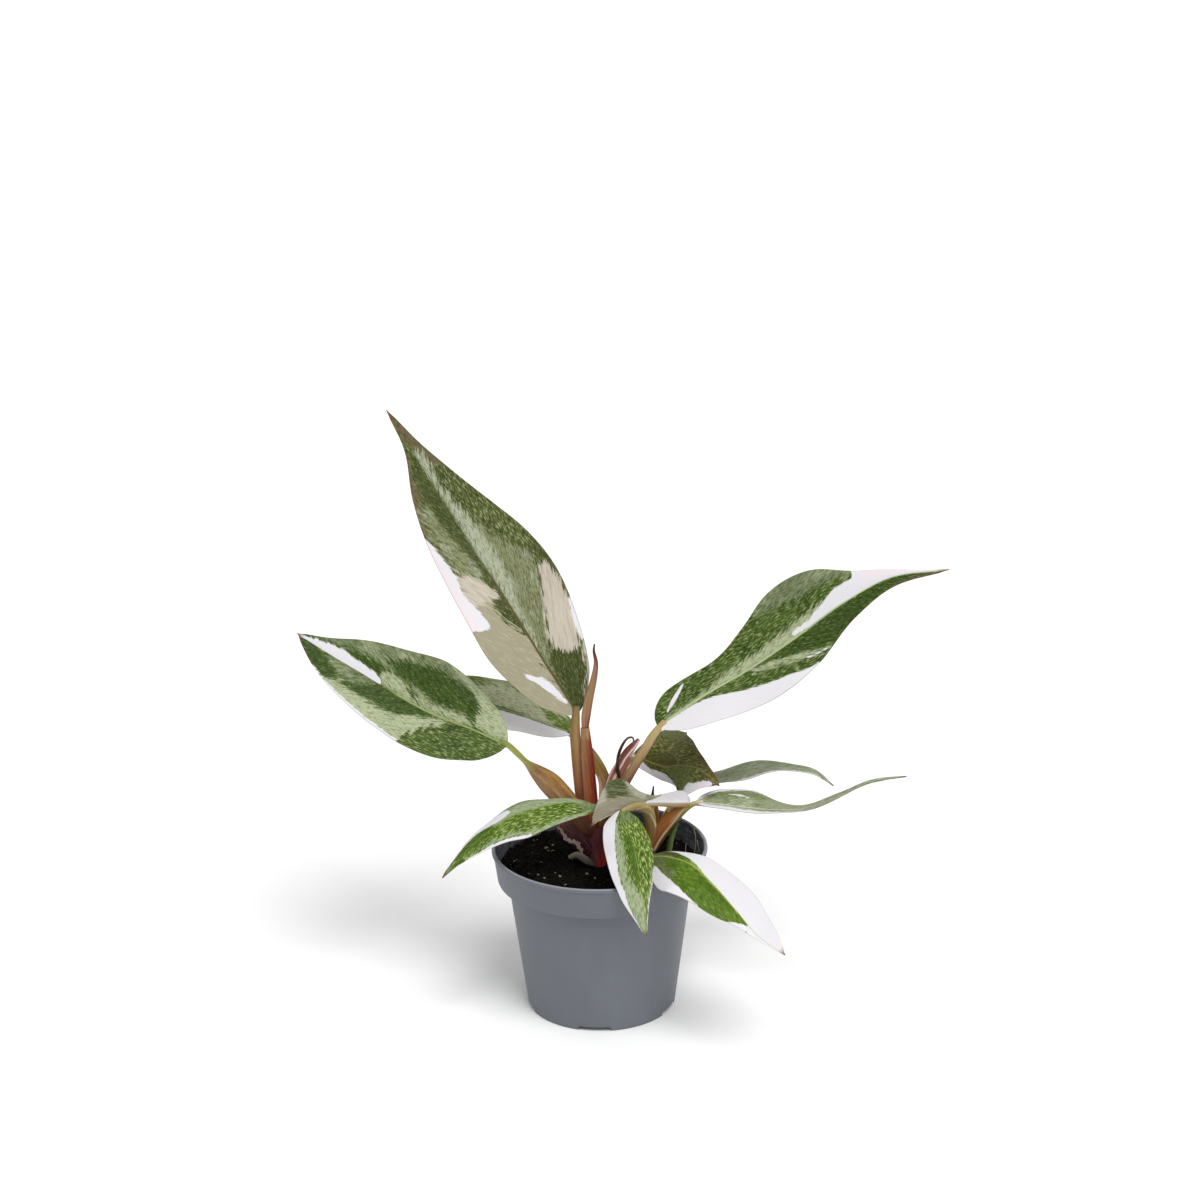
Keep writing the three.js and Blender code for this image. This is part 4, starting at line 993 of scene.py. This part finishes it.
class PHILODENDRON_OT_pot(bpy.types.Operator):
    """Makes the moulded nursery pot"""

    bl_idname = "philodendron.pot"
    bl_label = "Pot"

    def execute(self, context):
        settings = context.scene.philodendron_pot
        # radius and height of the wall's outline, from the underside over the lip to the inner floor
        profile = rows("10 0, 10.6 .4, 11 3, 37.5 3, 38.3 .4, 38.8 0, 40.9 0, 41.4 .25, 41.55 .8, 41.9 3.2, "
                       "51.1 73.4, 51.35 74.3, 51.9 74.7, 56 75, 56.7 75.25, 57 75.9, 58.95 90.6, 59.1 91, "
                       "59.55 91.3, 59.9 91.7, 60 92.3, 59.9 93, 59.5 93.5, 58.8 93.7, 58.2 93.5, 57.8 93, "
                       "57.6 92.3, 57.35 91, 55.6 76.4, 55.3 75.8, 49.9 74.2, 49.4 72, 40.3 6, 39.6 4.7, 38.8 4.6, "
                       ".5 4.6")
        radius, height = 0.5, 0.0
        deselect()
        bpy.ops.mesh.primitive_circle_add(vertices=settings.sides, radius=radius * MM, location=(0, 0, 0))
        pot = context.object
        pot.name = "pot_moulded"
        bpy.ops.object.mode_set(mode="EDIT")
        bpy.ops.mesh.select_all(action="SELECT")
        for r, z in profile:
            bpy.ops.mesh.extrude_region_move(TRANSFORM_OT_translate={"value": (0, 0, (z - height) * MM)})
            factor = r / radius
            bpy.ops.transform.resize(value=(factor, factor, 1), center_override=(0, 0, z * MM))
            radius, height = r, z
        close(pot)
        # five drain holes in the floor and five notches in the foot, and the radii on which they stand
        drains, notches = 24 * MM, 40.5 * MM
        for k in range(5):
            turn = 2 * math.pi * (k + 0.5) / 5
            bpy.ops.mesh.primitive_cylinder_add(
                vertices=32, radius=4 * MM, depth=12 * MM,
                location=(drains * math.cos(turn), drains * math.sin(turn), 4 * MM))
            hole = context.object
            turn = 2 * math.pi * k / 5 - math.pi / 2 - 0.1
            bpy.ops.mesh.primitive_cube_add(
                size=1, scale=(10 * MM, 18 * MM, 5 * MM), rotation=(0, 0, turn),
                location=(notches * math.cos(turn), notches * math.sin(turn), 0))
            notch = context.object
            bpy.ops.object.transform_apply(location=False, rotation=True, scale=True)
            edit(notch, (bpy.ops.mesh.bevel, {"offset": 1.0 * MM, "segments": 3}))
            for cutter in (hole, notch):
                modify(pot, "BOOLEAN", operation="DIFFERENCE", solver="EXACT", object=cutter)
                bpy.data.objects.remove(cutter)
        # the second copy of the plastic carries painted shade: faces of the inside wall above the floor get it
        for name, inner_shade in (("polypropylene_moulded_grey", 0.0), ("polypropylene_painted_inner_shade", 0.85)):
            pot.data.materials.append(pot_material(name, tuple(settings.colour), inner_shade))
        for face in pot.data.polygons:
            inward = face.normal.x * face.center.x + face.normal.y * face.center.y < -0.3 * face.center.xy.length
            face.material_index = int(inward and face.center.z > 6 * MM)
        finish(pot, "pot_plastic", "pot", angle=30)
        return {"FINISHED"}


class PHILODENDRON_OT_soil(bpy.types.Operator):
    """Makes the potting soil with its crumbs, perlite, bark and fine roots"""

    bl_idname = "philodendron.soil"
    bl_label = "Soil"

    def execute(self, context):
        top = context.scene.philodendron_pot.soil_top
        # the first 0.8 of the grid makes the top, and the rest goes down the pot's inner wall
        bed, around, outward = woven("soil_bed", 200, 90)
        angle = 2 * math.pi * around
        side = outward > 0.8
        radius = np.where(side, SOIL_EDGE, outward / 0.8 * SOIL_EDGE)
        height = soil_height(radius * np.cos(angle), radius * np.sin(angle), top)
        depth = np.clip((outward - 0.8) / 0.2, 0, 1)
        share = [0, 0.3, 0.45, 1]
        radius = np.where(side, np.interp(depth, share, [SOIL_EDGE, 55.1, 49.4, 40.0]), radius)
        wall = np.interp(depth, share, [top - 0.5, 76.8, 73.6, 5.2])
        height = np.where(side, np.minimum(height, wall), height)
        put(bed, np.stack([radius * np.cos(angle), radius * np.sin(angle), height], 1))
        close(bed, 1e-5)
        bed.data.materials.append(soil_material("potting_mix_peat", "080604", "1c140d", 1.6))
        finish(bed, "soil", "soil", angle=80)
        # name, count, smallest and largest size, stretch, material and seed
        kinds = (
            ("peat_crumbs", 1500, (0.5, 1.5), (0.75, 0.8, 0.6),
             soil_material("peat_crumb", "0a0705", "241a10", 0.9), 11),
            ("bark_bits", 150, (0.7, 2.0), (1.0, 0.5, 0.3),
             soil_material("bark_chip", "1c120b", "4a3424", 0.7), 12),
            ("perlite_grains", 40, (0.4, 1.0), (1.0, 0.8, 0.7),
             soil_material("perlite_expanded", "7c7662", "bfb9a4", 0.5, 0.85), 13),
        )
        # the larger chips at the front and the left, as x, y and size
        chips = {"perlite_grains": "-30.3 24.9 1.6, -34.1 -14.4 1, -22 -14.8 1.2, -18.6 -26.8 1.1, -7.1 -12.7 1.3, "
                                   "-2.7 -16.8 1",
                 "bark_bits": "-50 23 2.2, -46 28 2.4, -42 20 2, -38 29 2.2, -36 -14 2"}
        for name, count, sizes, stretch, material, seed in kinds:
            litter = strewn(rows(chips[name]) if name in chips else [], count, sizes, stretch, seed, top)
            litter.name = name
            litter.data.materials.append(material)
            finish(litter, "soil", angle=20)
        hairs = ("53 12 81, 54 12 90, 53 12.5 97.5", "55.8 10 81, 55.5 10 86, 54.8 10.5 91",
                 "48.5 12 81, 48.3 12 85, 48.5 12 88.5", "48.5 4 82.5, 52 3 83.3, 56 4 85.5")
        thin = [0.22, 0.18, 0.12]
        roots = join(*[tube("root_hair", rows(hair), thin, thin, "8f8a6a b0aa88", sides=8, rings=16)
                       for hair in hairs])
        roots.name = "root_hairs"
        roots.data.materials.append(stalk_material("fine_root_hair", 0.6, 0.2))
        finish(roots, "stem", angle=60)
        return {"FINISHED"}


class PHILODENDRON_OT_shoots(bpy.types.Operator):
    """Makes the stems, sheaths, rolled new leaf and dry scales"""

    bl_idname = "philodendron.shoots"
    bl_label = "Stems and sheaths"

    def execute(self, context):
        materials = {
            "stem": stalk_material("burgundy_stem_satin", 0.4, 0.3),
            "sheath": stalk_material("leaf_sheath_satin", 0.42, 0.45),
            "dry_husk": stalk_material("dry_papery_husk", 0.85, 0.8),
        }
        for name, shoot in SHOOTS.items():
            shape = {key: value for key, value in shoot.items() if key != "slot"}
            piece = tube(name + "_living", **shape, sides=64, rings=100)
            piece.data.materials.append(materials[shoot["slot"]])
            finish(piece, shoot["slot"], name, angle=50)
        edge = rows("-22.8 -4 106.5, -20.6 -4.3 104, -18.5 -4.5 99.8, -15.7 -4.6 97.9, -13 -4.6 97.3, "
                    "-10.8 -4.6 93.6, -9.2 -4.6 89.4")
        ribbon = tube("torn_sheath_edge", edge, [0.5, 0.8, 1.1, 1.0, 1.3, 1.1, 0.5], [0.2, 0.2],
                      "a89a90 b8a69c 8a7470", sides=24, rings=120, shape=torn)
        ribbon.data.materials.append(materials["dry_husk"])
        finish(ribbon, "dry_husk", angle=40)
        return {"FINISHED"}


class PHILODENDRON_OT_leaves(bpy.types.Operator):
    """Makes the eleven leaves with their stalks"""

    bl_idname = "philodendron.leaves"
    bl_label = "Leaves"

    def execute(self, context):
        stalk = stalk_material("petiole_satin", 0.42, 0.45)
        for index, (name, leaf) in enumerate(LEAVES.items()):
            build_leaf(name, index, (blade_material(name + "_blade_upper", leaf, False),
                                     blade_material(name + "_blade_under", leaf, True), stalk))
        return {"FINISHED"}


class PhilodendronStageSettings(bpy.types.PropertyGroup):
    fill: bpy.props.FloatProperty(name="Fill", description="Strength of the white surroundings", default=0.6)
    key: bpy.props.FloatProperty(name="Key light", description="Strength of the main light", default=2.3)
    softness: bpy.props.FloatProperty(name="Softness", description="Width of the main light as seen from the plant",
                                      default=math.radians(32), subtype="ANGLE", unit="ROTATION")
    lens: bpy.props.FloatProperty(name="Lens", description="Focal length in millimetres", default=75.26)
    distance: bpy.props.FloatProperty(name="Distance", description="Camera to the pot's rim", default=1.4,
                                      subtype="DISTANCE", unit="LENGTH")


class PhilodendronPotSettings(bpy.types.PropertyGroup):
    sides: bpy.props.IntProperty(name="Sides", description="Faces round the pot", default=144)
    soil_top: bpy.props.FloatProperty(name="Soil top", description="Height of the soil in millimetres", default=81.6)
    colour: bpy.props.FloatVectorProperty(name="Colour", description="Colour of the pot's plastic", size=4,
                                          subtype="COLOR", default=linear("666a71"))


class PHILODENDRON_PT_panel(bpy.types.Panel):
    """Lists the pieces and their settings"""

    bl_label = "Potted philodendron"
    bl_idname = "PHILODENDRON_PT_panel"
    bl_space_type = "VIEW_3D"
    bl_region_type = "UI"
    bl_category = "Philodendron"

    def draw(self, context):
        for piece in PIECES:
            self.layout.operator(piece.bl_idname)
        for group in (context.scene.philodendron_stage, context.scene.philodendron_pot):
            for key in group.bl_rna.properties.keys()[1:]:
                self.layout.prop(group, key)


PIECES = (PHILODENDRON_OT_pot, PHILODENDRON_OT_soil, PHILODENDRON_OT_shoots, PHILODENDRON_OT_leaves,
          PHILODENDRON_OT_stage)
CLASSES = (PhilodendronStageSettings, PhilodendronPotSettings, *PIECES, PHILODENDRON_PT_panel)


def register():
    for made in CLASSES:
        bpy.utils.register_class(made)
    bpy.types.Scene.philodendron_stage = bpy.props.PointerProperty(type=PhilodendronStageSettings)
    bpy.types.Scene.philodendron_pot = bpy.props.PointerProperty(type=PhilodendronPotSettings)


def unregister():
    del bpy.types.Scene.philodendron_stage
    del bpy.types.Scene.philodendron_pot
    for made in reversed(CLASSES):
        bpy.utils.unregister_class(made)


def main():
    register()
    bpy.ops.philodendron.pot()
    bpy.ops.philodendron.soil()
    bpy.ops.philodendron.shoots()
    bpy.ops.philodendron.leaves()
    bpy.ops.philodendron.stage()


if __name__ == "__main__":
    main()
